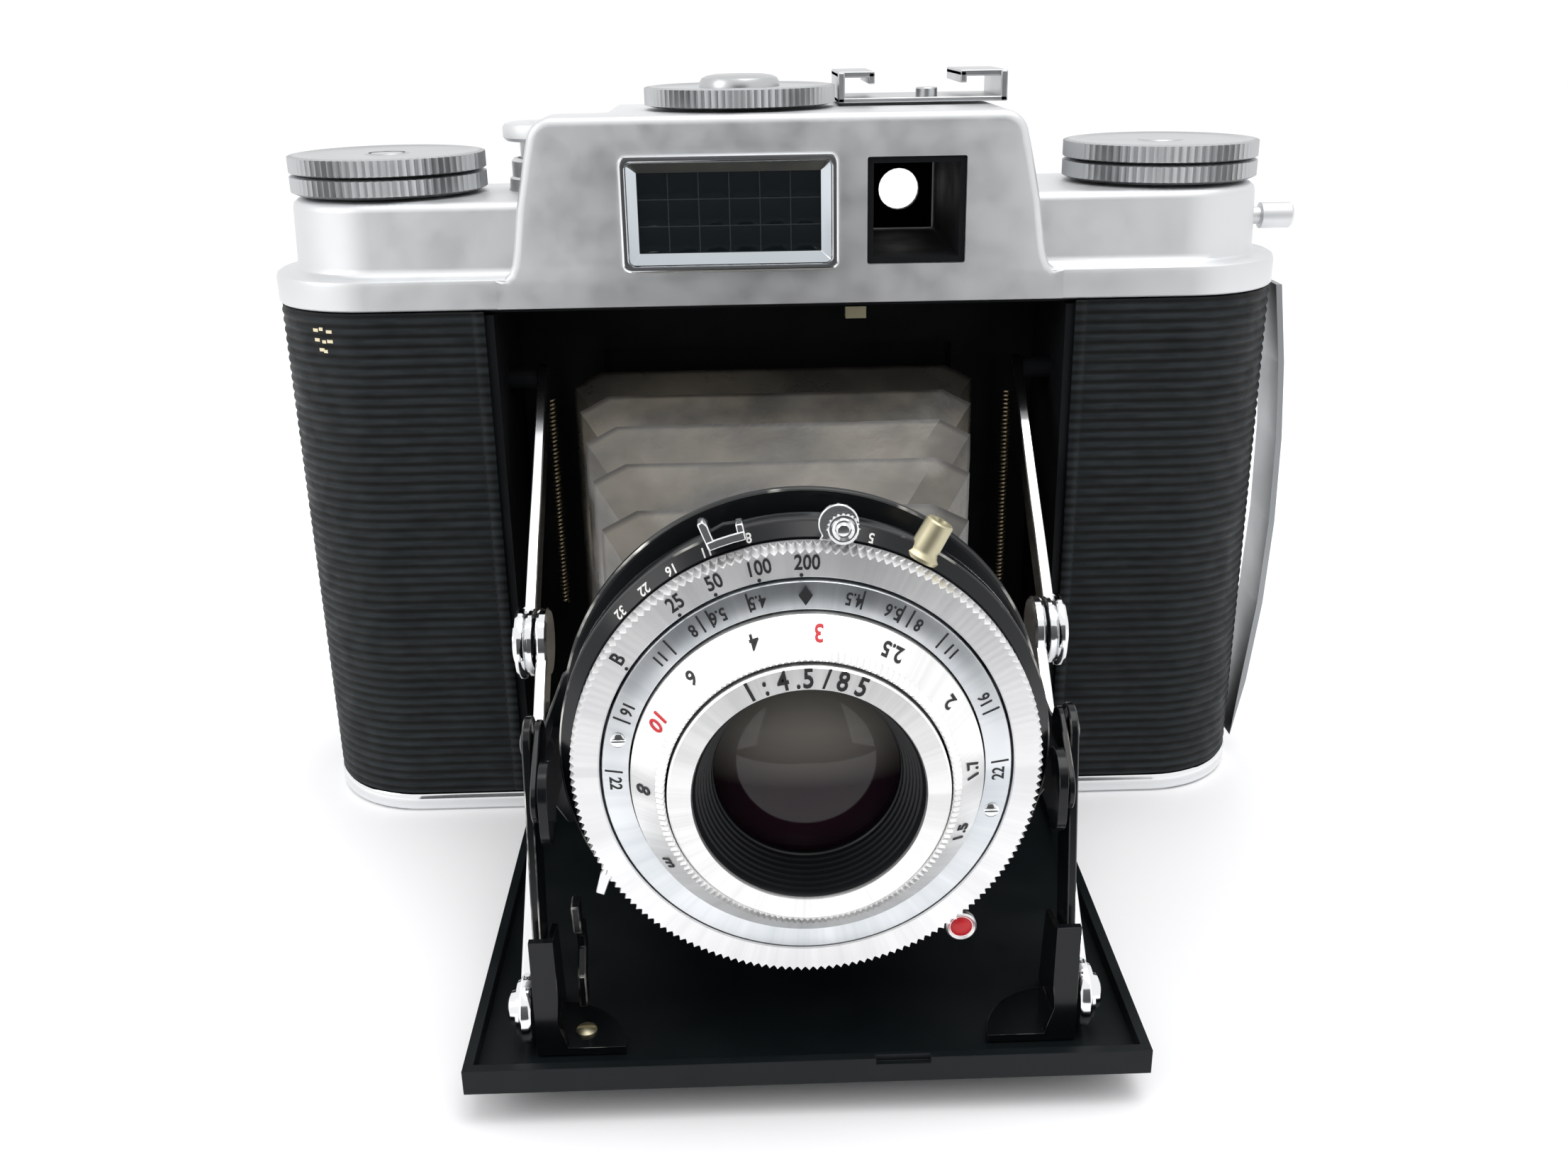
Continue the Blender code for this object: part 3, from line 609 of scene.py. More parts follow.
def hoop(rings):
    """Outlines of equal length joined in turn and round to the first, as a picture frame is."""
    bm = bmesh.new()
    loops = [[bm.verts.new(p) for p in ring] for ring in rings]
    for a, b in zip(loops, loops[1:] + loops[:1]):
        for i in range(len(a)):
            j = (i + 1) % len(a)
            bm.faces.new((a[i], a[j], b[j], b[i]))
    return bm


def window(x0, x1, z0, z1, radius, y):
    return [(u, y, v) for u, v in rounded(x0, x1, z0, z1, radius, 5)]


def meter_and_finder():
    bezel = [
        window(-22.3, 8.3, 85.5, 101.6, 1.2, -15.6),
        window(-22.3, 8.3, 85.5, 101.6, 1.2, -18.0),
        window(-22.1, 8.1, 85.7, 101.4, 1.2, -18.45),
        window(-21.7, 7.7, 86.1, 101.0, 1.0, -18.6),
        window(-21.3, 7.3, 86.5, 100.6, 0.9, -18.45),
        window(-21.2, 7.2, 86.6, 100.5, 0.9, -18.1),
        window(-21.2, 7.2, 86.6, 100.5, 0.9, -15.6),
    ]
    piece("meter_bezel", hoop(bezel), CHROME, "camera", "meter_frame", sharp=40)
    slope = [
        window(-21.15, 7.15, 86.65, 100.45, 0.8, -17.9),
        window(-19.8, 5.8, 88.1, 99.1, 0.1, -16.9),
        window(-19.8, 5.8, 88.1, 99.1, 0.1, -15.7),
        window(-21.15, 7.15, 86.65, 100.45, 0.8, -15.7),
    ]
    edge = metal("bevelled_glass_edge", (0.5, 0.54, 0.57), 0.05, 0.1, 500.0, 0.01)
    piece("meter_slope", hoop(slope), edge, "camera", sharp=20)
    cells = []
    for i in range(6):
        for j in range(3):
            x0 = -19.8 + i * 4.27
            z0 = 88.1 + j * 3.67
            cells.append(pillow((x0 + 0.08, x0 + 4.19), (z0 + 0.08, z0 + 3.59), -16.6, 0.12))
    piece("meter_cells", merged(*cells), METER, "camera", "meter_glass", sharp=60)
    grid = paint("grid_line", (0.02, 0.026, 0.03), 0.4, 0.5)
    piece("meter_grid", box((-19.9, 5.9), (-16.58, -15.8), (88.0, 99.2)), grid, "camera")
    lip = [
        [(u, FACE - 0.04, v) for u, v in rounded(12.0, 26.5, 85.7, 101.0, 0.4, 3)],
        [(u, FACE - 0.04, v) for u, v in rounded(12.3, 26.2, 86.0, 100.7, 0.3, 3)],
        [(u, FACE + 1.3, v) for u, v in rounded(12.4, 26.1, 86.1, 100.6, 0.3, 3)],
        [(u, FACE + 1.3, v) for u, v in rounded(12.0, 26.5, 85.7, 101.0, 0.4, 3)],
    ]
    piece("finder_edge", hoop(lip), SATIN, "camera")


def pillow(x, z, y, rise, steps=6):
    """One domed cell of the meter's honeycomb."""
    bm = bmesh.new()
    grid = []
    for i in range(steps + 1):
        row = []
        for j in range(steps + 1):
            u = i / steps
            v = j / steps
            swell = (1 - (2 * u - 1) ** 4) * (1 - (2 * v - 1) ** 4)
            row.append(bm.verts.new((x[0] + (x[1] - x[0]) * u, y - rise * swell, z[0] + (z[1] - z[0]) * v)))
        grid.append(row)
    for a, b in zip(grid, grid[1:]):
        for j in range(steps):
            bm.faces.new((a[j], a[j + 1], b[j + 1], b[j]))
    return bm


# ---------------------------------------------------------------- controls on top


def knob(name, centre, profile, body, replaces, teeth, deep, span):
    shape = turned(profile, centre, "z", teeth=teeth, deep=deep, span=span)
    thing = piece(name, shape, KNURL, body, replaces, sharp=30)


def controls():
    r = 14.3
    lower = [
        (0, 76.6), (3.0, 76.6), (3.0, 95.6), (12.6, 95.6), (13.4, 95.7), (r, 96.1), (r, 98.25),
        (13.6, 98.45),
    ]
    upper = [
        (13.6, 98.65), (r, 98.85), (r, 101.05), (r - 0.5, 101.2), (12.9, 101.25), (12.3, 101.05),
        (11.6, 101.0), (3.4, 101.0), (3.2, 101.15), (0, 101.2),
    ]
    left = (-KNOB[0], KNOB[1])
    knob("winding_knob_lower", KNOB, lower + [(0, 98.5)], "winder", "winding_knob", 80, 0.42, (5, 6))
    knob("winding_knob_upper", KNOB, [(0, 98.4)] + upper, "winder", (), 80, 0.42, (2, 4))
    core = lower + [(2.3, 98.5), (2.3, 101.05), (0, 101.1)]
    knob("spool_knob_turned", left, core, "rewind_knob", "spool_knob", 80, 0.42, (5, 6))
    cap = [(2.7, 98.7)] + upper[:-2] + [(3.2, 101.15), (2.7, 101.1)]
    knob("reminder_dial_turned", left, cap, "reminder", "reminder_dial", 80, 0.42, (2, 4))
    dial = [
        (0, 104.0), (2.6, 104.0), (2.6, 107.0), (12.8, 107.0), (13.95, 107.25), (13.95, 109.6),
        (13.5, 109.75), (12.8, 109.8), (12.4, 109.6), (5.9, 109.6), (5.8, 110.3), (5.5, 110.8),
        (4.8, 111.1), (3.6, 111.3), (0, 111.4),
    ]
    knob("exposure_dial_turned", (-5.2, 0.0), dial, "exposure", "exposure_dial", 88, 0.4, (4, 6))
    centre = (-33.7, 3.0)
    collar = [
        (5.0, 95.2), (6.6, 95.2), (6.4, 95.7), (6.3, 97.0), (5.9, 97.3), (5.9, 99.5), (5.5, 99.9),
        (5.0, 99.9),
    ]
    shape = piece("release_collar_turned", turned(collar, centre), SATIN, "camera", "release_collar")
    button = [
        (0, 90.0), (3.2, 90.0), (3.2, 99.0), (4.5, 99.0), (4.5, 102.2), (6.4, 102.4), (6.9, 102.9),
        (6.9, 104.3), (6.6, 104.8), (6.0, 104.95), (3.0, 104.9), (2.6, 104.5), (0, 104.4),
    ]
    shape = piece("release_button_turned", turned(button, centre), SATIN, "button", "release_button")
    stud = [(0, 71.0), (1.3, 71.0), (1.3, 73.3), (1.95, 73.5), (1.95, 77.9), (1.6, 78.3), (0, 78.3)]
    piece("strap_stud_turned", turned(stud, (0.0, 89.7), "x", 32), SATIN, "camera", "strap_stud")


def shoe():
    """The accessory shoe: a folded channel whose lips are cut back and turned down at the front."""
    shapes = [box((9.2, 34.1), (-1.0, 15.0), (107.0, 107.7))]
    for low, high, lip, hook in (
        (9.2, 10.2, (9.2, 14.6), (13.7, 14.6)),
        (33.1, 34.1, (27.2, 34.1), (27.2, 28.1)),
    ):
        shapes.append(box((low, high), (-1.0, 15.0), (107.0, 111.2)))
        shapes.append(box(lip, (-0.6, 15.0), (110.5, 111.35)))
        shapes.append(box(hook, (-0.6, 15.0), (109.6, 111.2)))
    piece("shoe_channel", merged(*shapes), KNURL, "camera", "accessory_shoe", bevel=0.15)
    piece("shoe_pin", pin(1.6, 107.3, 109.0, (22.4, 1.2)), KNURL, "camera", (), bevel=0.2)


# ---------------------------------------------------------------- bellows


def bellows():
    """Pleated skin with folded corners, narrowing towards the lens plate."""
    pleats = 5
    per = 4
    bm = bmesh.new()
    # fold is 1 on each ridge and 0 in each valley; the skin's material paints a shade line along the ridges
    # by it.
    fold = bm.verts.layers.float.new("fold")
    grid = []
    for r in range(pleats * 2 * per + 1):
        y = BELLOWS_BACK + (BELLOWS_FRONT - BELLOWS_BACK) * r / (pleats * 2 * per)
        phase = (r % (2 * per)) / per
        ridge = phase if phase <= 1 else 2 - phase
        half_high = 25.8 - 0.0008 * y * y
        half_wide = 31.1 + 0.153 * y
        sink = 3.5 * (1 - ridge)
        if ridge == 1:
            sink = -0.15
        grid.append(bellows_row(bm, half_wide - sink, half_high - sink, 4.3, 2.6 - ridge * 0.4, y, ridge))
        for vert in grid[-1]:
            vert[fold] = ridge
    for a, b in zip(grid, grid[1:]):
        for i in range(len(a)):
            j = (i + 1) % len(a)
            bm.faces.new((a[i], a[j], b[j], b[i]))
    skin = piece("bellows_skin", bm, BELLOWS, "camera", "bellows", sharp=26)
    solid = skin.modifiers.new("thickness", "SOLIDIFY")
    solid.thickness = 0.4 * MM
    solid.offset = -1.0
    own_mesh(skin)


def bellows_row(bm, half_wide, half_high, cut_w, cut_h, y, ridge):
    """One ring of points: straight sides of many points, with plain cut corners."""
    corners = []
    for sx, sz, first in ((1, 1, True), (-1, 1, False), (-1, -1, True), (1, -1, False)):
        side_point = (sx * half_wide, sz * (half_high - cut_h))
        end_point = (sx * (half_wide - cut_w), sz * half_high)
        corners += [side_point, end_point] if first else [end_point, side_point]
    ring = []
    for k in range(8):
        a = Vector(corners[k])
        b = Vector(corners[(k + 1) % 8])
        count = 2 if k % 2 == 0 else 14
        for i in range(count):
            p = a.lerp(b, i / count)
            crease = noise.noise(Vector((p.x * 0.22, y * 0.16, p.y * 0.22)))
            ripple = noise.noise(Vector((p.x * 0.7, y * 0.1, p.y * 0.7)))
            push = (crease * 0.4 + ripple * 0.1) * (0.3 + 0.7 * (1 - ridge))
            out = Vector((p.x, p.y)).normalized() * push
            ring.append(bm.verts.new((BELLOWS_X + p.x + out.x, y, LENS[1] + p.y + out.y)))
    return ring


# ---------------------------------------------------------------- bed


def bed():
    inner = 38.3
    y0 = -90.5
    pan = (box((-inner, inner), (y0 + 1.2, -10), (5.8, 20)), "DIFFERENCE")
    under = (box((-inner, inner), (y0 + 1.2, -20.1), (0.0, 5.0)), "DIFFERENCE")
    notch = (box((7.7, 14.0), (y0 - 1, y0 + 0.7), (6.9, 20)), "DIFFERENCE")
    tools = [pan, under, notch]
    for low, high in ((-34.0, -10.0), (10.0, 34.0)):
        tools.append((pin(1.9, low, high, HINGE, "x", 24), "UNION"))
        tools.append((box((low, high), (-19.5, -17.3), (4.7, 5.8)), "UNION"))
    shell = box((-39.5, 39.5), (y0, -18.9), (4.5, 7.7))
    piece("bed_pan", shell, DOOR_PAINT, "bed", "bed_door", bevel=0.35, cutters=tools)
    skin = box((-inner + 0.3, inner - 0.3), (y0 + 1.5, -20.4), (4.5, 4.75))
    piece("bed_skin", skin, LEATHER, "bed", "bed_leather", bevel=0.1)
    for side, word in SIDES:
        bracket(side, word)


def bracket(side, word):
    base = 6.05
    front = -86.0
    foot = [(30.2, front), (30.2, front + 9.0)] + arc((30.2, front), 9.0, 100, 180, 14)
    web_shape = [
        (28.9, base), (31.5, base), (31.5, 21.5), (28.7, 21.5), (28.6, 14.0), (28.9, 10.5),
        (28.1, 8.0), (27.6, base),
    ]
    web = prism(flip(web_shape, side), front, front + 0.9, "y")
    outline = [(front + 0.1, base), (-74.0, base), (-76.0, 17.5), (front + 0.1, 19.5)]
    flange = prism(outline, *between(29.5, 30.2, side), "x")
    piece(
        "bracket_body_" + word,
        prism(flip(foot, side), base, base + 0.95),
        ENAMEL,
        "bed",
        "bracket_" + word,
        bevel=0.18,
        cutters=((web, "UNION"), (flange, "UNION")),
        worn=True,
    )
    if side < 0:
        head = [(0, 6.9), (1.25, 6.9), (1.25, 7.3), (0.9, 7.6), (0, 7.7)]
        slot_cut = box((-27.6, -24.4), (-83.1, -82.7), (7.4, 8.0))
        piece(
            "bracket_screw",
            turned(head, (-26.0, -82.9), "z", 24),
            NICKEL,
            "bed",
            cutters=((slot_cut, "DIFFERENCE"),),
        )


# ---------------------------------------------------------------- linkage


def lean(bm, a, b, amount, side):
    run = Vector((b[0] - a[0], b[1] - a[1]))
    for vert in bm.verts:
        share = Vector((vert.co.y - a[0], vert.co.z - a[1])).dot(run) / run.length_squared
        vert.co.x -= side * amount * share
    return bm


def linkage(side, word):
    upper = prism(capsule(tuple(STRUT_TOP), tuple(KNEE), 2.1), *between(35.2, 36.7, side), "x")
    lean(upper, STRUT_TOP, KNEE, 0.7, side)
    piece("strut_bar_" + word, upper, CHROME, "upper_struts", "strut_upper_" + word, bevel=0.2)
    disc = [
        (0, 34.5), (4.3, 34.5), (4.6, 34.7), (4.6, 35.2), (4.2, 35.3), (4.2, 35.5), (4.8, 35.7), (4.95, 36.0),
        (4.95, 36.5), (4.6, 36.9), (2.9, 37.0), (2.7, 37.4), (1.8, 37.6), (0, 37.7),
    ]
    disc = [(r, side * h) for r, h in disc]
    piece("knee_disc_" + word, turned(disc, tuple(KNEE), "x", 48), CHROME, "upper_struts")
    lower = prism(capsule(tuple(STRUT_FOOT), tuple(KNEE), 2.2), *between(31.9, 33.4, side), "x")
    lean(lower, STRUT_FOOT, KNEE, -0.8, side)
    piece("strut_leg_" + word, lower, CHROME, "lower_struts", "strut_lower_" + word, bevel=0.2)
    head = [(0, 32.6), (4.3, 32.6), (4.7, 32.9), (4.7, 33.7), (4.4, 34.1), (0, 34.2)]
    head = [(r, side * h) for r, h in head]
    piece("knee_inner_" + word, turned(head, tuple(KNEE), "x", 48), CHROME, "lower_struts")
    eye = [
        (0, 31.9), (3.9, 31.9), (4.1, 32.2), (4.1, 33.0), (3.8, 33.3), (3.4, 33.4), (3.2, 33.8),
        (2.2, 33.9), (2.0, 34.6), (1.5, 34.9), (0, 35.0),
    ]
    eye = [(r, side * h) for r, h in eye]
    piece("strut_eye_" + word, turned(eye, tuple(STRUT_FOOT), "x", 40), CHROME, "lower_struts")
    arm = prism(capsule(FOOT, ELBOW, 2.9, 3.1), *between(30.5, 31.5, side), "x")
    piece("side_arm_" + word, arm, ENAMEL, "side_arms", "arm_" + word, bevel=0.18, worn=True)
    rivet = [(0, 31.3), (1.5, 31.3), (1.5, 31.8), (1.1, 32.0), (0, 32.0)]
    rivet = [(r, side * h) for r, h in rivet]
    piece("arm_rivet_" + word, turned(rivet, ELBOW, "x", 24), ENAMEL, "side_arms")
    link = prism(capsule(ELBOW, EAR, 2.7), *between(29.5, 30.2, side), "x")
    piece("link_plate_" + word, link, ENAMEL, "ear_links", "ear_link_" + word, bevel=0.15, worn=True)
    coil(side, word)


def coil(side, word):
    """The thin spring in the recess: a wire wound on a circle."""
    centre = Vector((side * 36.1, 1.2))
    turns = 52
    per = 8
    ring = 6
    wire = 0.2
    path = []
    for i in range(turns * per + 1):
        angle = 2 * math.pi * i / per
        path.append(
            Vector((
                centre.x + 0.55 * math.cos(angle),
                centre.y + 0.55 * math.sin(angle),
                28.8 + 34.4 * i / (turns * per),
            ))
        )
    bm = bmesh.new()
    loops = []
    for i, point in enumerate(path):
        ahead = path[min(i + 1, len(path) - 1)] - path[max(i - 1, 0)]
        turn = ahead.to_track_quat("Z", "X")
        loop = []
        for k in range(ring):
            angle = 2 * math.pi * k / ring
            offset = turn @ Vector((wire * math.cos(angle), wire * math.sin(angle), 0.0))
            loop.append(bm.verts.new(point + offset))
        loops.append(loop)
    for a, b in zip(loops, loops[1:]):
        for k in range(ring):
            bm.faces.new((a[k], a[(k + 1) % ring], b[(k + 1) % ring], b[k]))
    bm.faces.new(loops[0])
    bm.faces.new(loops[-1])
    piece("coil_" + word, bm, BRASS, "camera", "spring_" + word, sharp=70)


# ---------------------------------------------------------------- lens and shutter


def on_ring(angle, radius):
    turn = math.radians(angle)
    return (LENS[0] + radius * math.cos(turn), LENS[1] + radius * math.sin(turn))


def points_on_ring(*places):
    return [on_ring(angle, radius) for angle, radius in places]


def standard():
    profile = [(13.0, -70.5), (27.5, -70.5), (28.1, -70.25), (28.2, -69.7), (28.0, -69.3), (13.0, -69.2)]
    piece("plate_disc", turned(profile, LENS, "y", 128), ENAMEL, "standard", "lens_standard")
    edge = [(27.86, -70.42), (28.02, -70.34), (28.15, -70.2), (28.0, -70.15), (27.8, -70.3)]
    piece("plate_rubbed_edge", turned(edge, LENS, "y", 128), WORN, "standard")
    for side, word in SIDES:
        shoulder = [
            (20.0, 28.0), (28.2, 28.0), (31.2, 33.0), (31.3, 39.6), (30.2, 41.0), (29.2, 43.5),
            (27.6, 47.5), (22.0, 52.0),
        ]
        shape = prism(flip(shoulder, side), -70.4, -69.4, "y")
        piece("plate_shoulder_" + word, shape, ENAMEL, "standard", (), bevel=0.25, worn=True)
        tip = capsule((EAR[0], EAR[1] - 2.0), (EAR[0], EAR[1] + 1.0), 3.4)
        strap = (box(between(28.25, 29.15, side), (EAR[0], -69.5), (34.5, 41.0)), "UNION")
        ear = prism(tip, *between(28.2, 29.2, side), "x")
        piece("plate_ear_" + word, ear, ENAMEL, "standard", (), bevel=0.2, cutters=(strap,), worn=True)


def shutter():
    case = [
        (14.0, -70.7), (25.5, -70.7), (25.5, -76.4), (26.9, -76.5), (27.5, -77.0), (27.6, -79.4),
        (27.5, -79.7), (26.1, -81.05), (14.0, -81.1),
    ]
    piece("shutter_case", turned(case, LENS, "y", 128), ENAMEL, "standard", "shutter_housing", sharp=25)
    line = [(27.42, -79.5), (27.62, -79.5), (27.58, -79.68), (27.42, -79.8), (27.2, -79.8)]
    piece("case_rubbed_edge", turned(line, LENS, "y", 128), WORN, "standard")
    ring = [
        (22.75, -84.3), (22.7, -81.4), (25.3, -81.35), (25.9, -81.4), (25.9, -81.7), (25.4, -81.8),
        (26.0, -82.0), (26.0, -84.2), (25.9, -84.4), (22.9, -84.45),
    ]
    bm = turned(ring, LENS, "y", teeth=176, deep=0.5, span=(6, 8))
    piece("speed_ring_turned", bm, RING, "speed", "speed_ring", sharp=30)
    ring = [
        (19.45, -84.9), (19.45, -81.4), (22.45, -81.4), (22.45, -84.5), (22.35, -84.65),
        (19.65, -85.2), (19.5, -85.15),
    ]
    bm = turned(ring, LENS, "y", 128)
    piece("scale_ring_turned", bm, SCALE, "standard", "scale_ring")
    ring = [
        (15.4, -83.0), (15.4, -81.4), (19.25, -81.4), (19.25, -85.9), (19.05, -86.15),
        (16.55, -88.65), (16.5, -88.75), (16.45, -89.1), (15.75, -89.55), (15.4, -89.4),
    ]
    bm = turned(ring, LENS, "y", teeth=150, deep=0.3, span=(7, 8))
    piece("focus_ring_turned", bm, TURNED, "focus", "focus_ring", sharp=30)
    ring = [
        (12.45, -89.9), (12.5, -81.0), (15.15, -81.0), (15.15, -89.9), (14.95, -90.15), (12.6, -90.25),
    ]
    bm = turned(ring, LENS, "y", 128)
    piece("front_ring", bm, TURNED, "front_lens", "front_cell")
    funnel = [(12.5, -89.6), (12.42, -89.9)]
    for i in range(7):
        r = 12.2 - i * 0.28
        y = -89.5 + i * 0.72
        funnel += [(r, y), (r - 0.05, y + 0.62)]
    funnel += [(10.3, -84.4), (10.3, -81.0), (12.5, -81.0)]
    piece("funnel", turned(funnel, LENS, "y", 96), DARK, "front_lens", sharp=30)
    dome = [
        (0, -86.5), (2.0, -86.43), (4.0, -86.2), (6.0, -85.75), (7.5, -85.25), (8.8, -84.7),
        (10.25, -83.9), (10.25, -82.6), (0, -82.6),
    ]
    piece("front_element", turned(dome, LENS, "y", 96), LENS_GLASS, "front_lens", "front_glass", sharp=60)
    levers()


def levers():
    strip = [on_ring(a, 28.0) for a in (111.6, 109, 106, 102.9)]
    strip += [on_ring(a, 27.0) for a in (102.9, 106, 109, 111.6)]
    left = points_on_ring((111.8, 27.1), (109.8, 27.2), (109.8, 29.7), (110.5, 30.3), (111.7, 30.2))
    right = points_on_ring((104.6, 27.2), (102.8, 27.2), (102.8, 28.8), (104.4, 28.9))
    tray = points_on_ring((110.6, 27.3), (103.8, 27.3), (103.8, 28.7), (107, 28.9), (110.6, 28.6))
    tab = merged(
        prism(strip, -82.4, -80.2, "y"), prism(left, -82.3, -80.3, "y"), prism(right, -82.3, -80.2, "y"),
    )
    piece("aperture_tab", tab, CHROME, "aperture", "aperture_lever", bevel=0.15)
    piece("aperture_pad", prism(tray, -81.2, -80.2, "y"), ENAMEL, "aperture", bevel=0.1)
    back = on_ring(82.6, 28.1)
    plate = arc(back, 2.15, -35, 215, 20) + [on_ring(86.6, 26.2), on_ring(78.6, 26.2)]
    piece("cocking_plate", prism(plate, -82.5, -81.9, "y"), CHROME, "cocking", "cocking_lever", bevel=0.15)
    tip = on_ring(81.6, 27.8)
    cap = [
        (0, -82.4), (1.75, -82.4), (1.8, -83.2), (1.6, -83.45), (1.35, -83.3), (1.15, -83.55),
        (0.85, -83.4), (0.6, -83.65), (0, -83.75),
    ]
    bm = turned(cap, tip, "y", teeth=20, deep=0.18, span=(1, 2))
    piece("cocking_cap", bm, CHROME, "cocking", sharp=25)
    dot = on_ring(-50.5, 27.9)
    rim = [(0, -82.2), (1.75, -82.2), (1.8, -83.0), (1.6, -83.2), (1.35, -83.0), (0, -83.0)]
    piece("timer_tip", turned(rim, dot, "y", 32), RING, "self_timer", "self_timer_lever")
    red = [(0, -82.9), (1.33, -82.95), (1.1, -83.2), (0.6, -83.32), (0, -83.35)]
    piece("timer_dot", turned(red, dot, "y", 32), RED, "self_timer")
    blade = points_on_ring(
        (-152.3, 25.7), (-151.0, 26.9), (-147.4, 28.7), (-145.7, 28.1), (-148.4, 26.4), (-149.3, 25.6)
    )
    piece("trip_tab", prism(blade, -83.2, -82.5, "y"), RING, "trip", "trip_lever", bevel=0.12)
    post = turned(
        [
            (0, 26.1), (2.3, 26.1), (2.3, 26.5), (1.85, 26.85), (1.65, 27.2), (1.58, 30.4), (1.4, 30.6),
            (0.95, 30.6), (0.85, 30.2), (0, 30.2),
        ],
        (0.0, -79.2),
        "z",
        32,
    )
    post.transform(Matrix.Rotation(math.radians(28.8), 4, "Y"))
    post.transform(Matrix.Translation((LENS[0], 0.0, LENS[1])))
    piece("sync_post", post, NICKEL, "standard", "sync_socket")
    spine = [(-80.0, 9.0), (-80.0, 13.0), (-77.8, 15.6), (-78.2, 18.4), (-80.8, 20.4), (-81.5, 24.0)]
    arm = prism(ribbon(spine, 1.1), -26.9, -25.9, "x")
    piece("release_lever", arm, ENAMEL, "shutter_arm", "release_arm", bevel=0.2, worn=True)


# ---------------------------------------------------------------- numerals


def letters(name, marks, y, body, material, raised=0.04, slope=0.0):
    """Flat numerals on a ring, tipped by slope. Each mark is (text, angle, radius, size, inward, spin)."""
    whole = bmesh.new()
    for text, angle, radius, size, inward, spin in marks:
        curve = bpy.data.curves.new("mark", "FONT")
        curve.body = text
        curve.size = size
        curve.align_x = "CENTER"
        curve.align_y = "CENTER"
        curve.extrude = raised / 2
        curve.offset = size * 0.018
        curve.resolution_u = 3
        thing = bpy.data.objects.new("mark", curve)
        bpy.context.scene.collection.objects.link(thing)
        bpy.context.view_layer.update()
        mesh = bpy.data.meshes.new_from_object(thing)
        turn = math.radians(angle)
        tip = math.radians(slope)
        out = Vector((math.cos(turn), 0.0, math.sin(turn)))
        outward = out * math.cos(tip) + Vector((0.0, math.sin(tip), 0.0))
        normal = out * math.sin(tip) + Vector((0.0, -math.cos(tip), 0.0))
        up = outward * (-1 if inward else 1)
        right = up.cross(normal)
        spun = math.radians(spin)
        axis_x = right * math.cos(spun) + up * math.sin(spun)
        axis_y = up * math.cos(spun) - right * math.sin(spun)
        x, z = on_ring(angle, radius)
        matrix = Matrix.Identity(4)
        matrix.col[0] = (*(axis_x * 0.8), 0.0)
        matrix.col[1] = (*axis_y, 0.0)
        matrix.col[2] = (*normal, 0.0)
        matrix.col[3] = (*(Vector((x, y, z)) + normal * raised / 2), 1.0)
        mesh.transform(matrix)
        whole.from_mesh(mesh)
        bpy.data.objects.remove(thing, do_unlink=True)
        bpy.data.curves.remove(curve)
        bpy.data.meshes.remove(mesh)
    piece(name, whole, material, body)


def ticks(name, marks, body, material, width=0.2):
    """Radial lines on the sloping scale ring: each is (angle, inner radius, outer radius)."""
    shapes = []
    for angle, inner, outer in marks:
        half = math.degrees(width / 2 / inner)
        ends = [(angle - half, inner), (angle + half, inner), (angle + half, outer), (angle - half, outer)]
        rings = []
        for lift in (0.1, -0.04):
            ring = []
            for turn, radius in ends:
                x, z = on_ring(turn, radius)
                ring.append((x, -85.2 + (radius - 19.65) * 0.204 + lift, z))
            rings.append(ring)
        shapes.append(stack(rings))
    piece(name, merged(*shapes), material, body)


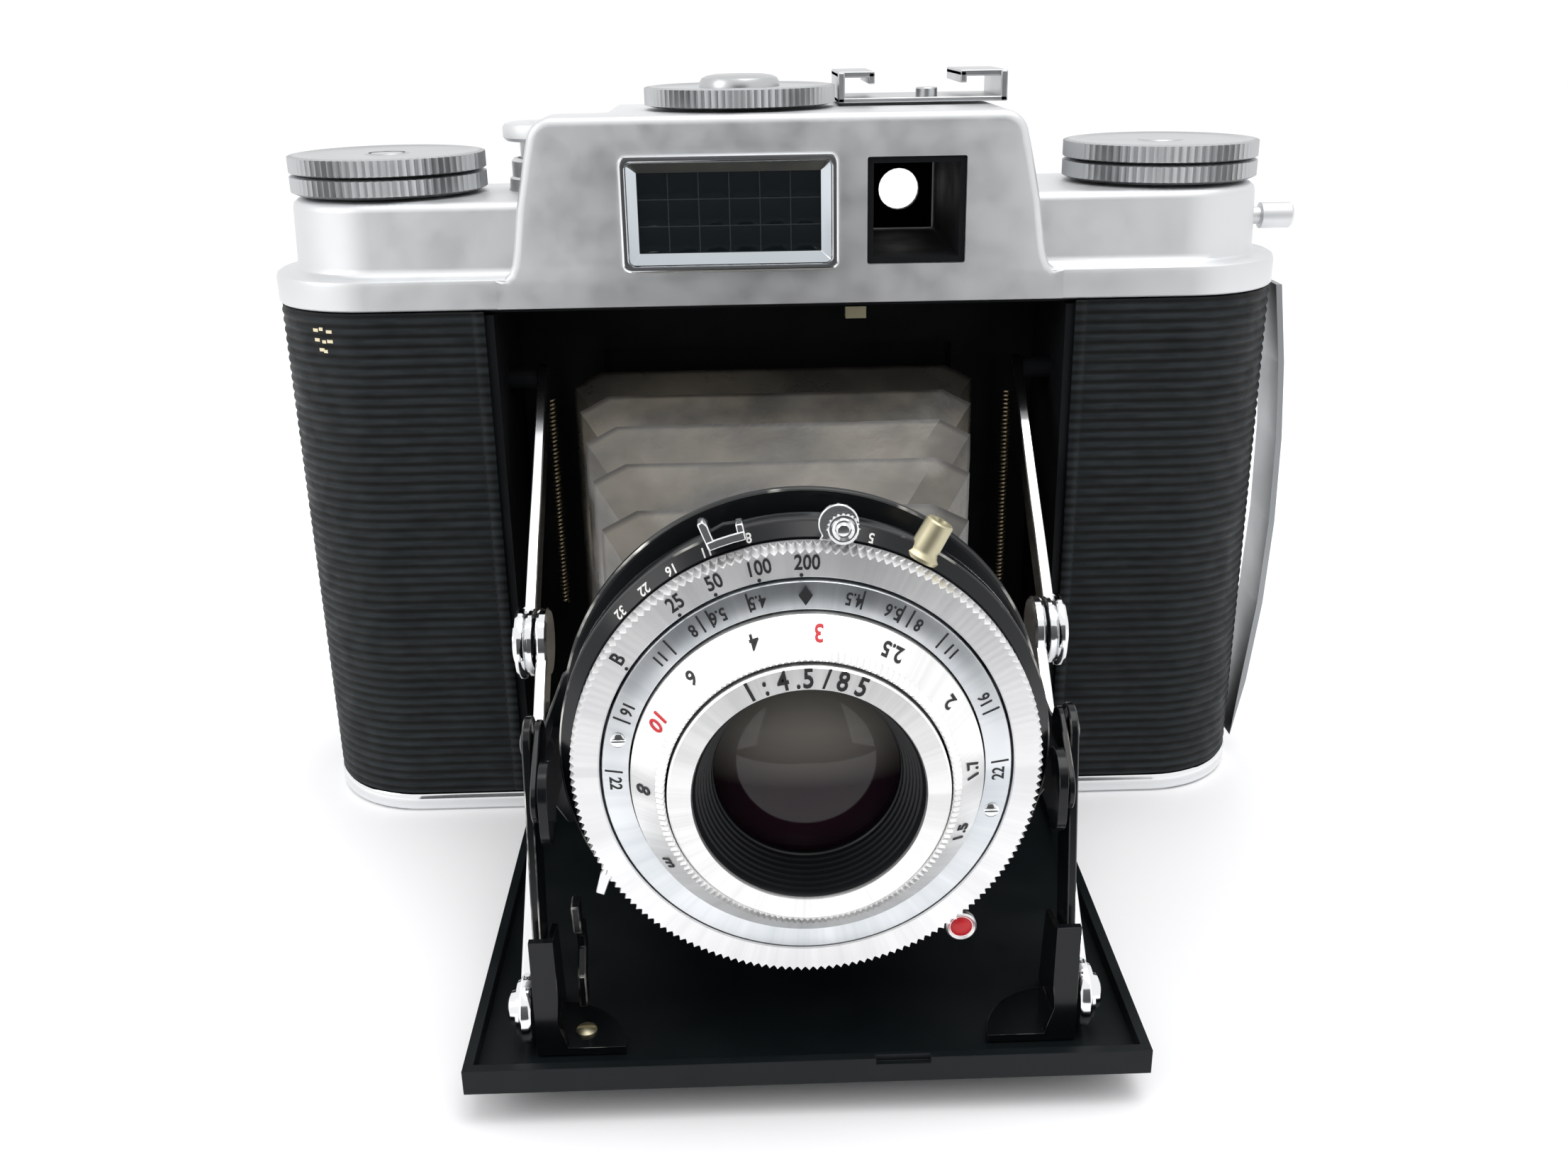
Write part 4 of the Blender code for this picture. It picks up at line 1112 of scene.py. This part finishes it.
def dials():
    speeds = [("B", 145), ("25", 124), ("50", 113), ("100", 101.5), ("200", 89.5)]
    letters("speed_marks", [(t, a, 24.35, 2.3, False, 0) for t, a in speeds], -84.45, "speed", INK)
    centres = points_on_ring(*[(a, 23.05) for a in (146, 125, 114, 102, 91)])
    dots = [prism(arc(dot, 0.2, 0, 330, 11), -84.5, -84.3, "y") for dot in centres]
    piece("speed_dots", merged(*dots), INK, "speed")
    stops = (
        ("4.5", 14, 16.5), ("5.6", 26, 28.5), ("8", 34.5, 31.5),
        ("11", 47.5, 43), ("16", 66.5, 70.5), ("22", 91.5, 87.5),
    )
    marks = []
    lines = []
    for text, at, line in stops:
        for sign in (-1, 1):
            marks.append((text, 90 - sign * at, 21.0, 1.95, True, 0))
            lines.append((90 - sign * line, 20.1, 22.1))
    letters("stop_marks", marks, -84.93, "standard", INK, slope=11.0)
    ticks("stop_lines", lines, "standard", INK)
    kite = [on_ring(90, 19.9), on_ring(88.0, 21.0), on_ring(90, 22.1), on_ring(92.0, 21.0)]
    piece("index_mark", prism(kite, -85.18, -84.6, "y"), INK, "standard")
    for angle in (167, -14):
        screw = on_ring(angle, 20.95)
        head = [(0, -84.7), (0.85, -84.7), (0.85, -85.1), (0.65, -85.25), (0, -85.3)]
        cut = box((screw[0] - 1, screw[0] + 1), (-86, -85.1), (screw[1] - 0.14, screw[1] + 0.14))
        word = "left" if angle > 90 else "right"
        shape = turned(head, screw, "y", 32)
        piece("scale_screw_" + word, shape, CHROME, "standard", cutters=((cut, "DIFFERENCE"),))
    black = [("6", 133), ("4", 108), ("2.5", 60), ("2", 32), ("1.7", 4), ("1.5", -21), ("m", -149)]
    marks = [(t, a, 17.85, 2.55, True, 0) for t, a in black] + [("8", 180, 17.85, 2.9, True, 0)]
    letters("distance_marks", marks, -87.37, "focus", INK, 0.06, 44.0)
    marks = [("10", 153, 17.85, 2.75, True, 0), ("3", 86, 17.85, 2.9, True, 0)]
    letters("distance_red", marks, -87.37, "focus", RED, 0.06, 44.0)
    front = [("1", 116), (":", 109), ("4", 101), (".", 94.5), ("5", 90), ("/", 82), ("8", 75), ("5", 66.5)]
    marks = [(t, a, 13.75, 3.1, False, 0) for t, a in front]
    letters("aperture_marks", marks, -90.21, "front_lens", INK, 0.08)
    rim = [("8", 102.6), ("11", 112.8), ("16", 122), ("22", 130), ("32", 138), ("5", 74.3)]
    letters("rim_marks", [(t, a, 26.6, 1.7, True, 0) for t, a in rim], -80.57, "standard", WHITE, 0.06, 44.0)


# ---------------------------------------------------------------- what stays from the frame


def repaint():
    finishes = {
        "tripod_bush": CHROME,
        "film_chamber_left": MATT,
        "film_chamber_right": MATT,
        "film_gate": MATT,
        "top_deck": MATT,
        "viewfinder_tube": MATT,
        "eyepiece": MATT,
        "back_hinge_pin": CHROME,
        "bed_hinge_pin": CHROME,
        "back_door": LEATHER,
        "pressure_plate": MATT,
        "red_window": RED_GLASS,
        "window_cover": MATT,
        "back_latch": STEEL,
        "take_up_spool": MATT,
        "supply_spool": MATT,
        "door_catch": NICKEL,
        "rear_cell": MATT,
    }
    for name, material in finishes.items():
        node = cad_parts[name]
        node.data.materials.clear()
        node.data.materials.append(material)


# ---------------------------------------------------------------- stage


def sheet(name, corners, colour):
    bm = bmesh.new()
    for corner in corners:
        bm.verts.new(corner)
    bm.faces.new(bm.verts)
    mesh = bpy.data.meshes.new(name)
    bm.to_mesh(mesh)
    bm.free()
    material = base_material(name, colour, 0.0, 0.7)
    vary(material, noise_node(material, 6.0), "Roughness", 0.65, 0.75)
    mesh.materials.append(material)
    thing = bpy.data.objects.new(name, mesh)
    bpy.context.scene.collection.objects.link(thing)


def stage():
    """A white table, with a dark sheet standing in for whoever stands behind the camera and their painted
    shadow lying on the table.
    """
    sheet("table", ((-3, -3, 0), (3, -3, 0), (3, 3, 0), (-3, 3, 0)), (0.95, 0.95, 0.96))
    dark = (0.06, 0.062, 0.065)
    # Painted shadow: a dark sheet lying flat on the table behind the camera, where whoever stands there
    # shades it.
    table_shadow = ((-0.16, -0.215, 0.001), (0.16, -0.215, 0.001), (0.2, -0.5, 0.001), (-0.2, -0.5, 0.001))
    sheet("table_shadow", table_shadow, dark)
    sheet("chest", ((-0.2, -0.45, 0.0), (0.2, -0.45, 0.0), (0.2, -0.5, 0.36), (-0.2, -0.5, 0.36)), dark)
    world = bpy.data.worlds.new("room")
    bpy.context.scene.world = world
    world.use_nodes = True
    background = world.node_tree.nodes["Background"]
    background.inputs["Color"].default_value = (1.0, 1.0, 1.0, 1.0)
    background.inputs["Strength"].default_value = 1.06
    for name, where, size, power in (
        ("top_light", (0.15, -0.15, 0.9), 0.6, 3.5),
        ("left_light", (-0.7, -0.35, 0.5), 0.4, 1.2),
    ):
        light = bpy.data.lights.new(name, "AREA")
        light.size = size
        light.energy = power
        lamp = bpy.data.objects.new(name, light)
        lamp.location = where
        lamp.rotation_euler = (Vector((0, -0.03, 0.05)) - Vector(where)).to_track_quat("-Z", "Y").to_euler()
        bpy.context.scene.collection.objects.link(lamp)


def camera():
    data = bpy.data.cameras.new("view")
    data.lens = 33.92
    data.sensor_width = 36.0
    data.clip_start = 0.01
    thing = bpy.data.objects.new("view", data)
    yaw = math.radians(1.353)
    pitch = math.radians(21.04)
    roll = math.radians(-0.913)
    forward = Vector((math.sin(yaw) * math.cos(pitch), math.cos(yaw) * math.cos(pitch), -math.sin(pitch)))
    right = Vector((math.cos(yaw), -math.sin(yaw), 0.0))
    up = right.cross(forward)
    across = right * math.cos(roll) + up * math.sin(roll)
    upward = up * math.cos(roll) - right * math.sin(roll)
    matrix = Matrix.Identity(4)
    matrix.col[0] = (*across, 0.0)
    matrix.col[1] = (*upward, 0.0)
    matrix.col[2] = (*(-forward), 0.0)
    matrix.col[3] = (-5.23 * MM, -228.26 * MM, 118.58 * MM, 1.0)
    thing.matrix_world = matrix
    bpy.context.scene.collection.objects.link(thing)
    bpy.context.scene.camera = thing
    bpy.context.scene.view_settings.view_transform = "Standard"


def main():
    repaint()
    housing()
    body_pieces()
    meter_and_finder()
    controls()
    shoe()
    bellows()
    bed()
    for side, word in SIDES:
        linkage(side, word)
    standard()
    shutter()
    dials()
    stage()
    camera()


main()
